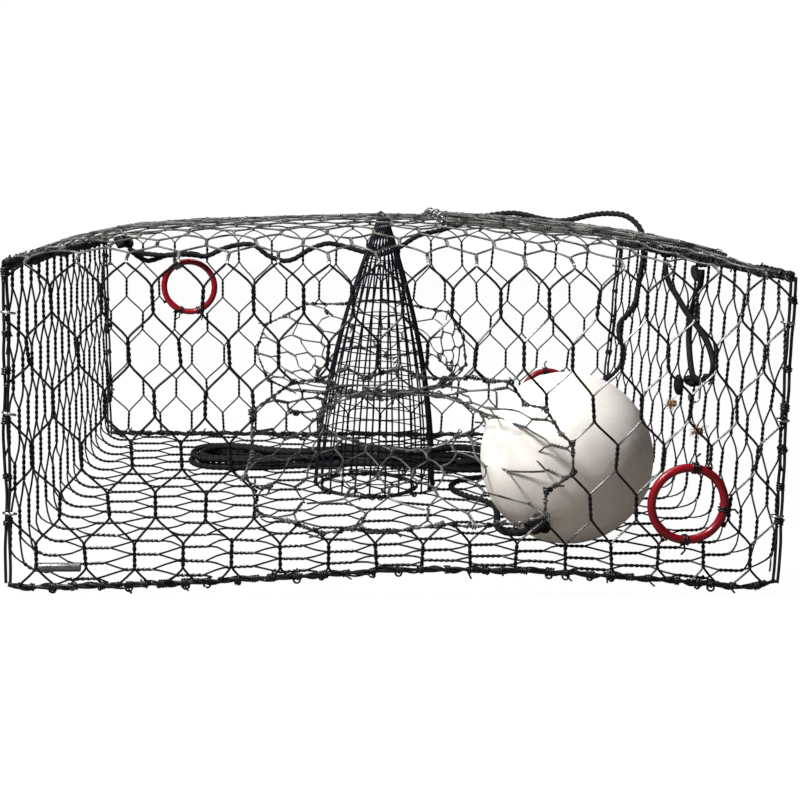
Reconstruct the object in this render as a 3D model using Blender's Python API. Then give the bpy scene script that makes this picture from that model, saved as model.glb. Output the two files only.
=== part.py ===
"""Crab trap: a low box of hexagonal wire mesh with two funnel mouths, a bait well, a hinged
top door, a bait door in the floor, three escape rings, and a float on its line.

Metres, +Z up. The front looks towards -Y, and the origin is on the ground under the middle.
"""

import math

import bmesh
import bpy
from mathutils import Vector

# Overall sizes of the box, over its laced edges
WIDTH = 0.612
DEPTH = 0.582
WALL_HEIGHT = 0.2515

# Rise of the top: at the front and back folds, and at the crown over the bait well
FOLD_RISE = 0.008
CROWN_RISE = 0.032
CROWN_HALF_LENGTH = 0.160
CROWN_FALL_POWER = 1.3

# Hexagonal mesh: twist to twist, row to row, and the length of a twist
MESH_PITCH = 0.0381
MESH_ROW = 0.0404
TWIST_LENGTH = 0.0224
LOWEST_TWIST = 0.0224
STRAND = 0.0013
STRAND_BACK = 0.4

# How a net is cut, as shares of its mesh: what ends within the first of these on an edge, and
# which ends join there. A strand's corner is drawn in to the third at most of its length.
NET_SNAP = 0.17
NET_JOIN = 0.85
NECK = 0.42
SHARPEST = 0.2
SAME_LINE = 0.0005

# The top, the floor, the walls and the doors have larger mesh than the two ends
WALL_TIMES = 2.6
TOP_TIMES = 2.6
FLOOR_TIMES = 3.0
DOOR_TIMES = 1.9
BAIT_DOOR_TIMES = 1.3

# Gap between pieces that touch
GAP = 0.0003

# Laced edges, and the bend between a side wall and the floor
SEAM_RADIUS = 0.0024
SEAM_SIDES = 8
WALL_BEND_RADIUS = 0.016
WALL_BEND_STEPS = 2

# Funnels
MOUTH_X = 0.0073
MOUTH_Z = 0.105
MOUTH_WIDTH = 0.253
MOUTH_HEIGHT = 0.122
THROAT_X = 0.006
THROAT_Z = 0.103
THROAT_WIDTH = 0.136
THROAT_HEIGHT = 0.055
FUNNEL_LENGTH = 0.160
FUNNEL_FLARE = 2.8
FUNNEL_WALL = 0.0018
FUNNEL_SIDES = 20
FUNNEL_STATIONS = 5

# Bait well
WELL_X = -0.007
WELL_RADIUS = 0.0605
WELL_WALL = 0.0016
WELL_PINCH = 0.012
WELL_TAPER_POWER = 1.9
WELL_SIDES = 20
WELL_STATIONS = 8

# Bait door in the floor
BAIT_HOLE_ROOM = 0.0115
BAIT_HOLE_APOTHEM = WELL_RADIUS - BAIT_HOLE_ROOM
BAIT_HOLE_SIDES = 8
BAIT_RING_X = 0.012

# Access door on the top, given by its opening
DOOR_HINGE_X = 0.045
DOOR_RIGHT_MARGIN = 0.0225
DOOR_FRONT_Y = -0.150
DOOR_BACK_Y = 0.062
DOOR_OVERLAP = 0.010
DOOR_SAG_ROOM = 0.0012
DOOR_RING_PLACES = (-0.115, -0.045, 0.025)

# How a ring finds its place: the room that it wants from a strand's end, and how far it may slide
SPOT_TRIES = 20
SPOT_ROOM = 0.008
SPOT_PULL = 0.01
DOOR_RING_SLIDE = 0.020
BAIT_RING_SLIDE = 0.006
CORNER_RING_SLIDE = 0.010
CLIP_SLIDE = 0.012

# Hog rings
RING_WIRE = 0.0009
SMALL_RING_WIRE = 0.0007
RING_ROOM = 0.0003
RING_SEGMENTS = 12
RING_SIDES = 4
CORNER_RING_HEIGHTS = (0.0600, 0.1400, 0.2190)
CORNER_RING_INWARD = 0.0015

# Escape rings
ESCAPE_OUTER_DIAMETER = 0.0665
ESCAPE_TUBE = 0.0035
ESCAPE_HOLE_SIDES = 10
ESCAPE_SEGMENTS = 24
ESCAPE_TUBE_SIDES = 6
FRONT_ESCAPE = (0.232, 0.066)
BACK_LOW_ESCAPE = (0.209, 0.054)
BACK_HIGH_ESCAPE = (-0.218, 0.182)

# Float
FLOAT_RADIUS = 0.0747
FLOAT_X = 0.1515
FLOAT_Y = -0.1879
FLOAT_BORE_RADIUS = 0.0055
FLOAT_AXIS = Vector((-0.404, -0.743, -0.535)).normalized()
FLOAT_SIDES = 24
FLOAT_STATIONS = 12

# Line
ROPE_RADIUS = 0.00325
ROPE_POINT_STEP = 0.019
TAIL_POINT_STEP = 0.015
LEAST_GAP_SKIP = 12
KNOT_RADIUS = 0.0085
START_KNOT_Z = 0.2330
HANK_CENTRE = (-0.035, 0.112)
HANK_LENGTH = 0.345
HANK_WIDTH = 0.093
HANK_LOOPS_A_LAYER = 2
HANK_STEP = 0.0098
HANK_WAIST = 0.10
HANK_WAIST_REACH = 0.045
HANK_LAYER_GAP = 0.0007
HANK_CLIMB = 0.25
HANK_RUN_POINTS = 5
HANK_TURN_POINTS = 7

# Elastic loop that holds the access door shut
ELASTIC_RADIUS = 0.0025
ELASTIC_POINT_STEP = 0.011
ELASTIC_KNOT_RADIUS = 0.0055
ELASTIC_KNOT_ANGLE = 50
ELASTIC_REAR_Y = 0.054
ELASTIC_FRONT_Y = -0.0753
HOOK_WIRE = 0.0011
HOOK_CURL = 0.0050
HOOK_SHANK = 0.016
HOOK_Y = -0.120
HOOK_REACH = 0.004

# Jute ties on the right wall, by depth and height
TIE_CORD = 0.0018
TIE_CLEARANCE = 0.012
TIE_PLACES = ((0.010, 0.094), (-0.085, 0.084))

# Zinc bar
ZINC_RADIUS = 0.0037
ZINC_LENGTH = 0.036

# Places that follow from the sizes above
SEAM_X = WIDTH / 2 - SEAM_RADIUS
SEAM_Y = DEPTH / 2 - SEAM_RADIUS
SEAM_FLAT = SEAM_RADIUS * math.cos(math.pi / SEAM_SIDES)
SEAM_TOP_Z = WALL_HEIGHT - SEAM_RADIUS
REACH = SEAM_RADIUS + STRAND + GAP
SIDE_BY_SIDE = 2 * STRAND + GAP
FOLD_STEP = SIDE_BY_SIDE / math.sqrt(2) + 0.0001
NET_HALF_X = SEAM_X - REACH
NET_HALF_Y = SEAM_Y - REACH
PANEL_LOW = SEAM_FLAT + REACH
PANEL_HIGH = SEAM_TOP_Z - FOLD_STEP
RISE_FROM = LOWEST_TWIST + 5 * MESH_ROW
CORNER = STRAND * math.hypot(1, STRAND_BACK)
SMALL_RING_INNER = SIDE_BY_SIDE / 2 + CORNER + RING_ROOM
FLOOR_Z = SMALL_RING_INNER + 2 * SMALL_RING_WIRE + RING_ROOM
FLOOR_TOP = FLOOR_Z + STRAND
FLOOR_RUN_Y = SEAM_Y - math.sqrt(REACH**2 - (FLOOR_Z - SEAM_FLAT) ** 2)
BEND_LENGTH = WALL_BEND_RADIUS * math.pi / 2
BEND_TOP = FLOOR_Z + WALL_BEND_RADIUS
WALL_HIGH = SEAM_TOP_Z - REACH
DOOR_LIFT = SIDE_BY_SIDE + DOOR_SAG_ROOM
DOOR_OPEN_RIGHT = SEAM_X - DOOR_RIGHT_MARGIN
ESCAPE_RADIUS = ESCAPE_OUTER_DIAMETER / 2 - ESCAPE_TUBE
FLOAT_CENTRE = Vector((FLOAT_X, FLOAT_Y, FLOOR_TOP + GAP + FLOAT_RADIUS))
ROPE_FLOOR_Z = FLOOR_TOP + GAP + ROPE_RADIUS

# Colours: red, green and blue, then roughness and metallic
BLACK_WIRE = ((0.020, 0.020, 0.022), 0.42, 0.0)
SILVER = ((0.60, 0.61, 0.62), 0.28, 1.0)
RED = ((0.50, 0.012, 0.025), 0.25, 0.0)
WHITE_FOAM = ((0.86, 0.84, 0.80), 0.85, 0.0)
BLACK_ROPE = ((0.018, 0.018, 0.020), 0.75, 0.0)
BLACK_RUBBER = ((0.015, 0.015, 0.017), 0.60, 0.0)
ZINC = ((0.26, 0.26, 0.27), 0.45, 0.9)
JUTE = ((0.30, 0.17, 0.075), 0.90, 0.0)


def clear_scene():
    """Removes what a new file holds."""
    for old in list(bpy.data.objects):
        bpy.data.objects.remove(old, do_unlink=True)


def dress(thing, look):
    """Gives an object its own material."""
    colour, roughness, metallic = look
    material = bpy.data.materials.new(thing.name)
    material.use_nodes = True
    shader = material.node_tree.nodes["Principled BSDF"]
    shader.inputs["Base Color"].default_value = (*colour, 1.0)
    shader.inputs["Roughness"].default_value = roughness
    shader.inputs["Metallic"].default_value = metallic
    thing.data.materials.append(material)


def add_mesh(name, points, faces, look, origin=(0.0, 0.0, 0.0), smooth_angle=None):
    """Makes an object from world points, with its origin where it turns or stands."""
    mesh = bpy.data.meshes.new(name)
    start = Vector(origin)
    mesh.from_pydata([Vector(p) - start for p in points], [], faces)
    bm = bmesh.new()
    bm.from_mesh(mesh)
    bmesh.ops.recalc_face_normals(bm, faces=bm.faces)
    bm.to_mesh(mesh)
    bm.free()
    if smooth_angle is not None:
        mesh.shade_smooth()
        mesh.set_sharp_from_angle(angle=math.radians(smooth_angle))
    thing = bpy.data.objects.new(name, mesh)
    thing.location = start
    bpy.context.scene.collection.objects.link(thing)
    dress(thing, look)
    return thing


def ring_points(centre, across, up, radius, count, turn=0.0):
    """Points on a circle in the plane of two unit vectors."""
    found = []
    for i in range(count):
        angle = turn + 2 * math.pi * i / count
        found.append(centre + across * radius * math.cos(angle) + up * radius * math.sin(angle))
    return found


def lofted(rows, closed=False):
    """Faces between rows of points, each row a ring; the ends are capped or meet each other."""
    count = len(rows[0])
    points = [p for row in rows for p in row]
    faces = []
    for i in range(len(rows) if closed else len(rows) - 1):
        a = i * count
        b = (i + 1) % len(rows) * count
        for j in range(count):
            k = (j + 1) % count
            faces.append((a + j, a + k, b + k, b + j))
    if not closed:
        faces.append(tuple(range(count)))
        faces.append(tuple(reversed(range((len(rows) - 1) * count, len(rows) * count))))
    return points, faces


def torus(name, centre, normal, inner_radius, wire, look, segments, sides):
    """A closed wire ring round an axis, given by its clear inner radius."""
    axis = Vector(normal).normalized()
    across = axis.orthogonal().normalized()
    up = axis.cross(across)
    middle = inner_radius / math.cos(math.pi / segments) + wire
    rows = []
    for i in range(segments):
        angle = 2 * math.pi * i / segments
        out = across * math.cos(angle) + up * math.sin(angle)
        place = Vector(centre) + out * middle
        rows.append(ring_points(place, out, axis, wire, sides, math.pi))
    points, faces = lofted(rows, closed=True)
    return add_mesh(name, points, faces, look, origin=centre, smooth_angle=50)


def tube(name, points, radius, look, resolution=2):
    """A round cord along a line of points, with closed ends."""
    curve = bpy.data.curves.new(name, "CURVE")
    curve.dimensions = "3D"
    curve.bevel_depth = radius
    curve.bevel_resolution = resolution
    curve.use_fill_caps = True
    spline = curve.splines.new("POLY")
    spline.points.add(len(points) - 1)
    for i, place in enumerate(points):
        spline.points[i].co = (*place, 1.0)
    thing = bpy.data.objects.new(name, curve)
    bpy.context.scene.collection.objects.link(thing)
    dress(thing, look)
    return thing


def through(points):
    """A dense smooth curve through a few points."""
    line = [2 * points[0] - points[1], *points, 2 * points[-1] - points[-2]]
    found = []
    for i in range(1, len(line) - 2):
        a, b, c, d = line[i - 1 : i + 3]
        for step in range(24):
            t = step / 24
            found.append(
                0.5
                * (
                    2 * b
                    + (c - a) * t
                    + (2 * a - 5 * b + 4 * c - d) * t * t
                    + (3 * b - a - 3 * c + d) * t**3
                )
            )
    found.append(points[-1].copy())
    return found


def evenly(line, step):
    """The same line with points at even distances, about step apart."""
    along = [0.0]
    for a, b in zip(line, line[1:]):
        along.append(along[-1] + (b - a).length)
    count = max(2, round(along[-1] / step) + 1)
    found = []
    i = 0
    for n in range(count):
        target = along[-1] * n / (count - 1)
        while i < len(line) - 2 and along[i + 1] < target:
            i += 1
        span = max(along[i + 1] - along[i], 1e-9)
        share = min(max((target - along[i]) / span, 0.0), 1.0)
        found.append(line[i].lerp(line[i + 1], share))
    return found


def length_of(line):
    """The length of a line of points."""
    return sum((b - a).length for a, b in zip(line, line[1:]))


class Outline:
    """A closed convex outline, anticlockwise, on which a net ends."""

    def __init__(self, corners, keeps_inside):
        self.corners = [Vector(c) for c in corners]
        self.keeps_inside = keeps_inside
        self.starts = [0.0]
        for a, b in self.sides():
            self.starts.append(self.starts[-1] + (b - a).length)

    def sides(self):
        """Each side as its two corners."""
        return list(zip(self.corners, self.corners[1:] + self.corners[:1]))

    def keeps(self, place):
        """Whether the net goes on at this place."""
        inside = all((b - a).cross(place - a) >= 0 for a, b in self.sides())
        return inside == self.keeps_inside

    def nearest(self, place):
        """The distance to the outline, how far round it that is, and the place there."""
        best = None
        for n, (a, b) in enumerate(self.sides()):
            side = b - a
            share = min(max((place - a).dot(side) / side.length_squared, 0.0), 1.0)
            spot = a + side * share
            found = ((place - spot).length, self.starts[n] + side.length * share, spot)
            if best is None or found[0] < best[0]:
                best = found
        return best

    def crossing(self, kept, dropped):
        """Where the straight line from a kept place to a dropped one leaves the net."""
        a, b = kept.copy(), dropped.copy()
        for _ in range(24):
            middle = (a + b) / 2
            if self.keeps(middle):
                a = middle
            else:
                b = middle
        return self.nearest(a)[1:]


def rectangle(u_low, u_high, v_low, v_high, keeps_inside):
    """A rectangular outline."""
    corners = [(u_low, v_low), (u_high, v_low), (u_high, v_high), (u_low, v_high)]
    return Outline(corners, keeps_inside)


def oval(centre, half_u, half_v, sides, keeps_inside, turn=0.0):
    """An oval outline of straight sides, whose corners lie on the oval."""
    corners = []
    for i in range(sides):
        angle = turn + 2 * math.pi * i / sides
        corners.append((centre[0] + half_u * math.cos(angle), centre[1] + half_v * math.sin(angle)))
    return Outline(corners, keeps_inside)


class Net:
    """A flat net of hexagonal mesh, cut to its outlines, as places and strands between them."""

    def __init__(self, pitch, row, twist, first_row, parity, start_u, outlines):
        self.outlines = outlines
        self.snap = NET_SNAP * pitch
        self.places = {}
        self.strands = set()
        self.on_outline = {}
        self.weave(pitch, row, twist, first_row, parity, start_u)
        self.cut()
        for n in range(len(outlines)):
            self.bind(n)
        self.trim()

    def weave(self, pitch, row, twist, first_row, parity, start_u):
        """Lays the whole mesh over the outer outline, and a little past it."""
        outer = self.outlines[0].corners
        high_u = max(c.x for c in outer)
        low_v = min(c.y for c in outer)
        high_v = max(c.y for c in outer)
        columns = math.ceil((high_u - start_u) / (pitch / 2)) + 3
        low_row = math.floor((low_v - first_row) / row) - 1
        high_row = math.ceil((high_v - first_row) / row) + 1
        for j in range(low_row, high_row + 1):
            for h in range(-3, columns):
                if (h + j + parity) % 2:
                    continue
                u = start_u + h * pitch / 2
                middle = first_row + j * row
                self.places[(h, j, 0)] = Vector((u, middle - twist / 2))
                self.places[(h, j, 1)] = Vector((u, middle + twist / 2))
                self.strands.add(((h, j, 0), (h, j, 1)))
                for side in (-1, 1):
                    self.strands.add(((h, j, 1), (h + side, j + 1, 0)))
        self.strands = {s for s in self.strands if s[0] in self.places and s[1] in self.places}

    def kept(self, place):
        """Whether every outline keeps this place."""
        return all(o.keeps(place) for o in self.outlines)

    def cut(self):
        """Drops what lies outside, and ends each cut strand on its outline."""
        dropped = {}
        for key, place in list(self.places.items()):
            near = min((o.nearest(place)[0], n) for n, o in enumerate(self.outlines))
            if near[0] < self.snap:
                spot = self.outlines[near[1]].nearest(place)[2]
                others = [o for n, o in enumerate(self.outlines) if n != near[1]]
                if all(o.keeps(spot) for o in others):
                    self.places[key] = spot
                    self.on_outline[key] = near[1]
                    continue
            if not self.kept(place):
                dropped[key] = self.places.pop(key)
        ends = 0
        for a, b in sorted(self.strands):
            if a in dropped and b in dropped:
                self.strands.discard((a, b))
            elif a in dropped or b in dropped:
                self.strands.discard((a, b))
                inside, outside = (b, a) if a in dropped else (a, b)
                if inside in self.on_outline:
                    continue
                place = dropped[outside]
                n = next(i for i, o in enumerate(self.outlines) if not o.keeps(place))
                key = ("end", ends)
                ends += 1
                self.places[key] = self.outlines[n].crossing(self.places[inside], place)[1]
                self.on_outline[key] = n
                self.strands.add((inside, key))
            else:
                n = self.on_outline.get(a)
                if n is not None and n == self.on_outline.get(b):
                    middle = (self.places[a] + self.places[b]) / 2
                    outline = self.outlines[n]
                    if not outline.keeps(middle) or outline.nearest(middle)[0] < self.snap:
                        self.strands.discard((a, b))

    def rename(self, old, new):
        """Moves every strand from one place to another."""
        changed = set()
        for a, b in self.strands:
            a, b = (new if a == old else a), (new if b == old else b)
            if a != b:
                changed.add((a, b))
        self.strands = changed
        self.places.pop(old, None)
        self.on_outline.pop(old, None)

    def bind(self, n):
        """Runs a strand round an outline, through its corners and the ends on it."""
        outline = self.outlines[n]
        whole = outline.starts[-1]
        posts = []
        for i, corner in enumerate(outline.corners):
            key = ("corner", n, i)
            self.places[key] = corner.copy()
            self.on_outline[key] = n
            posts.append((outline.starts[i], key, True))
        for key in sorted((k for k, v in self.on_outline.items() if v == n), key=str):
            if key[0] != "corner":
                posts.append((outline.nearest(self.places[key])[1], key, False))
        posts.sort(key=lambda p: (p[0], not p[2]))
        near = NET_JOIN * self.snap
        chosen = [p for p in posts if p[2]]
        for along, key, _ in (p for p in posts if not p[2]):
            gaps = [min(abs(along - c[0]), whole - abs(along - c[0])) for c in chosen]
            closest = gaps.index(min(gaps))
            if gaps[closest] < near:
                self.rename(key, chosen[closest][1])
            else:
                chosen.append((along, key, False))
        chosen.sort(key=lambda p: p[0])
        for a, b in zip(chosen, chosen[1:] + chosen[:1]):
            self.strands.discard((a[1], b[1]))
            self.strands.discard((b[1], a[1]))
            self.strands.add((a[1], b[1]))

    def neighbours(self):
        """Each place's neighbours."""
        found = {key: set() for key in self.places}
        for a, b in self.strands:
            found[a].add(b)
            found[b].add(a)
        return found

    def trim(self):
        """Takes off loose ends, and anything that the main net doesn't reach."""
        while True:
            found = self.neighbours()
            loose = {k for k, near in found.items() if len(near) < 2}
            if not loose:
                break
            self.strands = {s for s in self.strands if s[0] not in loose and s[1] not in loose}
            for key in loose:
                self.places.pop(key)
        reached = {("corner", 0, 0)}
        todo = [("corner", 0, 0)]
        while todo:
            for near in found[todo.pop()]:
                if near not in reached:
                    reached.add(near)
                    todo.append(near)
        self.places = {k: p for k, p in self.places.items() if k in reached}
        self.strands = {s for s in self.strands if s[0] in reached and s[1] in reached}

    def split(self, levels):
        """Adds a place wherever a strand crosses one of these levels of v."""
        for n, level in enumerate(levels):
            for i, (a, b) in enumerate(sorted(self.strands, key=str)):
                low, high = self.places[a].y, self.places[b].y
                if (low - level) * (high - level) < -1e-10:
                    key = ("split", n, i)
                    share = (level - low) / (high - low)
                    self.places[key] = self.places[a].lerp(self.places[b], share)
                    self.strands.discard((a, b))
                    self.strands.add((a, key))
                    self.strands.add((key, b))

    def gaps(self):
        """How many openings the net has between its strands."""
        return len(self.strands) - len(self.places) + 1 - (len(self.outlines) - 1)

    def solid(self, name, shape, look, ridge=1, origin=(0.0, 0.0, 0.0)):
        """Gives every strand a ridged section and bends the net; ridge is its side, 1 or -1."""
        half = STRAND
        back = -STRAND * STRAND_BACK * ridge
        points = []
        faces = []
        tops, flanks = {}, {}
        found = self.neighbours()
        for key in sorted(self.places, key=str):
            here = self.places[key]
            ways = []
            for near in found[key]:
                run = self.places[near] - here
                ways.append((math.atan2(run.y, run.x), run.length, near))
            ways.sort(key=lambda w: w[0])
            tops[key] = len(points)
            points.append(shape(here.x, here.y, half * ridge))
            base = []
            for n, (angle, length, near) in enumerate(ways):
                after = ways[(n + 1) % len(ways)]
                between = (after[0] - angle) % (2 * math.pi)
                if between < 1e-6:
                    between = 2 * math.pi
                out = half / max(math.sin(between / 2), SHARPEST)
                out = min(out, NECK * min(length, after[1]))
                turn = angle + between / 2
                side = shape(here.x + out * math.cos(turn), here.y + out * math.sin(turn), back)
                flanks[(key, near, "left")] = len(points)
                flanks[(key, after[2], "right")] = len(points)
                base.append(len(points))
                points.append(side)
            if len(base) > 2:
                faces.append(tuple(base))
        for a, b in sorted(self.strands, key=str):
            left_a, right_a = flanks[(a, b, "left")], flanks[(a, b, "right")]
            left_b, right_b = flanks[(b, a, "right")], flanks[(b, a, "left")]
            faces.append((tops[a], tops[b], left_b, left_a))
            faces.append((tops[a], right_a, right_b, tops[b]))
            faces.append((left_a, left_b, right_b, right_a))
        return add_mesh(name, points, faces, look, origin=origin, smooth_angle=100)

    def levels_on(self, u):
        """The v of every place on the line of constant u."""
        return [p.y for p in self.places.values() if abs(p.x - u) < SAME_LINE]


def clear_spot(target, taken, window):
    """The spot within a window round the target that is best clear of what is taken."""
    best = None
    for i in range(-SPOT_TRIES, SPOT_TRIES + 1):
        spot = target + window * i / SPOT_TRIES
        room = min([abs(spot - t) for t in taken], default=1.0)
        score = min(room, SPOT_ROOM) - SPOT_PULL * abs(spot - target)
        if best is None or score > best[0]:
            best = (score, spot)
    return best[1]


def fitted(length, pitch):
    """The pitch nearest to the wanted one that divides a length evenly."""
    return length / max(2, round(length / pitch))


def fold_height(x):
    """The height of the front and back folds' middle line."""
    return SEAM_TOP_Z + FOLD_RISE * (1 - (x / NET_HALF_X) ** 2)


def top_height(x, y):
    """The height of the top's mesh."""
    fall = (abs(y) - CROWN_HALF_LENGTH) / (NET_HALF_Y - CROWN_HALF_LENGTH)
    crown = 1 - min(max(fall, 0.0), 1.0) ** CROWN_FALL_POWER
    arch = 1 - (x / NET_HALF_X) ** 2
    return SEAM_TOP_Z + arch * (FOLD_RISE + (CROWN_RISE - FOLD_RISE) * crown)


def end_height(x, z):
    """The height of a point of the front or back mesh, stretched up to the fold."""
    share = min(max((z - RISE_FROM) / (PANEL_HIGH - RISE_FROM), 0.0), 1.0)
    return z + (fold_height(x) - SEAM_TOP_Z) * share


def mouth_radius():
    """The half width and half height of a mouth's outline."""
    return MOUTH_WIDTH / 2, MOUTH_HEIGHT / 2


def escape_hole_radius():
    """The radius of the outline round an escape ring, at its corners."""
    clear = ESCAPE_OUTER_DIAMETER / 2 + GAP + STRAND
    return clear / math.cos(math.pi / ESCAPE_HOLE_SIDES)


def end_net(escapes):
    """The mesh of the front or the back, with its mouth and its holes for escape rings."""
    half_u, half_v = mouth_radius()
    outlines = [
        rectangle(-NET_HALF_X, NET_HALF_X, PANEL_LOW, PANEL_HIGH, True),
        oval((MOUTH_X, MOUTH_Z), half_u, half_v, FUNNEL_SIDES, False),
    ]
    for place in escapes:
        radius = escape_hole_radius()
        outlines.append(oval(place, radius, radius, ESCAPE_HOLE_SIDES, False))
    pitch = fitted(2 * NET_HALF_X, MESH_PITCH)
    return Net(pitch, MESH_ROW, TWIST_LENGTH, LOWEST_TWIST, 1, -NET_HALF_X, outlines)


def end_panel(name, side, net):
    """The front or the back: side is -1 or 1."""

    def shape(u, v, w):
        return Vector((u, side * (SEAM_Y + w), end_height(u, v)))

    return net.solid(name, shape, BLACK_WIRE, ridge=-1)


def wall_net():
    """The mesh of a side wall, whose v runs up its bend from the floor and then upright."""
    high = BEND_LENGTH + WALL_HIGH - BEND_TOP
    pitch = fitted(2 * NET_HALF_Y, MESH_PITCH * WALL_TIMES)
    first = BEND_LENGTH + LOWEST_TWIST + MESH_ROW - BEND_TOP
    row = WALL_TIMES * MESH_ROW
    twist = WALL_TIMES * TWIST_LENGTH
    outline = rectangle(-NET_HALF_Y, NET_HALF_Y, 0.0, high, True)
    net = Net(pitch, row, twist, first, 1, -NET_HALF_Y, [outline])
    steps = range(1, WALL_BEND_STEPS + 1)
    net.split([BEND_LENGTH * i / WALL_BEND_STEPS for i in steps])
    return net


def wall(name, side, net):
    """A side wall: side is -1 on the left and 1 on the right."""

    def shape(u, v, w):
        if v >= BEND_LENGTH:
            return Vector((side * (SEAM_X + w), u, BEND_TOP + v - BEND_LENGTH))
        angle = (BEND_LENGTH - v) / WALL_BEND_RADIUS
        centre_x = SEAM_X - WALL_BEND_RADIUS
        out = WALL_BEND_RADIUS + w
        x = centre_x + out * math.cos(angle)
        return Vector((side * x, u, BEND_TOP - out * math.sin(angle)))

    return net.solid(name, shape, BLACK_WIRE, ridge=-1)


def top_net():
    """The mesh of the top, with the opening under the access door."""
    high = SEAM_Y - FOLD_STEP
    pitch = fitted(2 * NET_HALF_X, MESH_PITCH * TOP_TIMES)
    row = MESH_ROW * TOP_TIMES
    outlines = [
        rectangle(-NET_HALF_X, NET_HALF_X, -high, high, True),
        rectangle(DOOR_HINGE_X, DOOR_OPEN_RIGHT, DOOR_FRONT_Y, DOOR_BACK_Y, False),
    ]
    return Net(pitch, row, TWIST_LENGTH * TOP_TIMES, 0.0, 1, -NET_HALF_X, outlines)


def top_panel(net):
    """The top, lifted at its crown."""

    def shape(u, v, w):
        return Vector((u, v, top_height(u, v) + w))

    return net.solid("top_panel", shape, BLACK_WIRE, ridge=-1)


def bait_hole(apothem, keeps_inside):
    """The eight-sided outline of the bait hole or of its door."""
    radius = apothem / math.cos(math.pi / BAIT_HOLE_SIDES)
    turn = math.pi / BAIT_HOLE_SIDES
    return oval((0.0, WELL_X), radius, radius, BAIT_HOLE_SIDES, keeps_inside, turn)


def floor_net():
    """The mesh of the floor between the walls' bends, with the bait hole."""
    half_u = SEAM_X - WALL_BEND_RADIUS - SIDE_BY_SIDE
    pitch = fitted(2 * FLOOR_RUN_Y, MESH_PITCH * FLOOR_TIMES)
    row = MESH_ROW * FLOOR_TIMES
    outlines = [
        rectangle(-FLOOR_RUN_Y, FLOOR_RUN_Y, -half_u, half_u, True),
        bait_hole(BAIT_HOLE_APOTHEM, False),
    ]
    return Net(pitch, row, TWIST_LENGTH * FLOOR_TIMES, 0.0, 1, -FLOOR_RUN_Y, outlines)


def floor_panel(net):
    """The floor, whose twists run from side to side."""

    def shape(u, v, w):
        return Vector((v, -u, FLOOR_Z + w))

    return net.solid("floor_panel", shape, BLACK_WIRE)


def door_net():
    """The mesh of the access door, with its hinge side on the line u = DOOR_HINGE_X."""
    low_v = DOOR_FRONT_Y - DOOR_OVERLAP
    high_v = DOOR_BACK_Y + DOOR_OVERLAP
    high_u = DOOR_OPEN_RIGHT + DOOR_OVERLAP
    pitch = fitted(high_u - DOOR_HINGE_X, MESH_PITCH * DOOR_TIMES)
    outline = rectangle(DOOR_HINGE_X, high_u, low_v, high_v, True)
    first = (low_v + high_v) / 2
    row = MESH_ROW * DOOR_TIMES
    return Net(pitch, row, TWIST_LENGTH * DOOR_TIMES, first, 0, DOOR_HINGE_X, [outline])


def door_hinge():
    """The middle of the access door's hinge line."""
    return Vector((DOOR_HINGE_X, (DOOR_FRONT_Y + DOOR_BACK_Y) / 2, door_height()))


def door_height():
    """The height of the access door's hinge line."""
    return top_height(DOOR_HINGE_X, 0.0) + DOOR_LIFT


def access_door(net):
    """The flap of mesh that covers the opening in the top."""

    def shape(u, v, w):
        return Vector((u, v, top_height(u, v) + DOOR_LIFT + w))

    return net.solid("access_door", shape, BLACK_WIRE, origin=door_hinge())


def door_rings(top, door):
    """The hog rings that hinge the access door to the top."""
    taken = top.levels_on(DOOR_HINGE_X) + door.levels_on(DOOR_HINGE_X)
    inner = DOOR_LIFT / 2 + STRAND + RING_ROOM
    for i, target in enumerate(DOOR_RING_PLACES):
        y = clear_spot(target, taken, DOOR_RING_SLIDE)
        centre = (DOOR_HINGE_X, y, door_height() - DOOR_LIFT / 2)
        name = f"access_door_ring_{i + 1}"
        torus(name, centre, (0, 1, 0), inner, RING_WIRE, SILVER, RING_SEGMENTS, RING_SIDES)


def bait_door_net():
    """The mesh of the bait door, which fills the bait hole."""
    outline = bait_hole(BAIT_HOLE_APOTHEM - SIDE_BY_SIDE, True)
    pitch = MESH_PITCH * BAIT_DOOR_TIMES
    row = MESH_ROW * BAIT_DOOR_TIMES
    return Net(pitch, row, TWIST_LENGTH * BAIT_DOOR_TIMES, WELL_X, 0, -2 * pitch, [outline])


def bait_door(net):
    """The bait door, lying flush in the floor, hinged on its front side."""

    def shape(u, v, w):
        return Vector((v, -u, FLOOR_Z + w))

    hinge = (WELL_X, -(BAIT_HOLE_APOTHEM - SIDE_BY_SIDE), FLOOR_Z)
    return net.solid("bait_door", shape, BLACK_WIRE, ridge=-1, origin=hinge)


def bait_rings(floor, door):
    """The two small rings that hinge the bait door to the floor."""
    taken = floor.levels_on(BAIT_HOLE_APOTHEM)
    taken += door.levels_on(BAIT_HOLE_APOTHEM - SIDE_BY_SIDE)
    y = -(BAIT_HOLE_APOTHEM - SIDE_BY_SIDE / 2)
    for i, side in enumerate((-1, 1)):
        x = clear_spot(WELL_X + side * BAIT_RING_X, taken, BAIT_RING_SLIDE)
        name = f"bait_door_ring_{i + 1}"
        inner = SMALL_RING_INNER
        wire = SMALL_RING_WIRE
        torus(name, (x, y, FLOOR_Z), (1, 0, 0), inner, wire, SILVER, RING_SEGMENTS, RING_SIDES)


def seam(name, start, end, across, up):
    """A laced edge as a straight bar of eight sides with a flat under it."""
    rows = []
    for place in (start, end):
        turn = math.pi / SEAM_SIDES
        rows.append(ring_points(Vector(place), across, up, SEAM_RADIUS, SEAM_SIDES, turn))
    points, faces = lofted(rows)
    return add_mesh(name, points, faces, BLACK_WIRE, smooth_angle=50)


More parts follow.
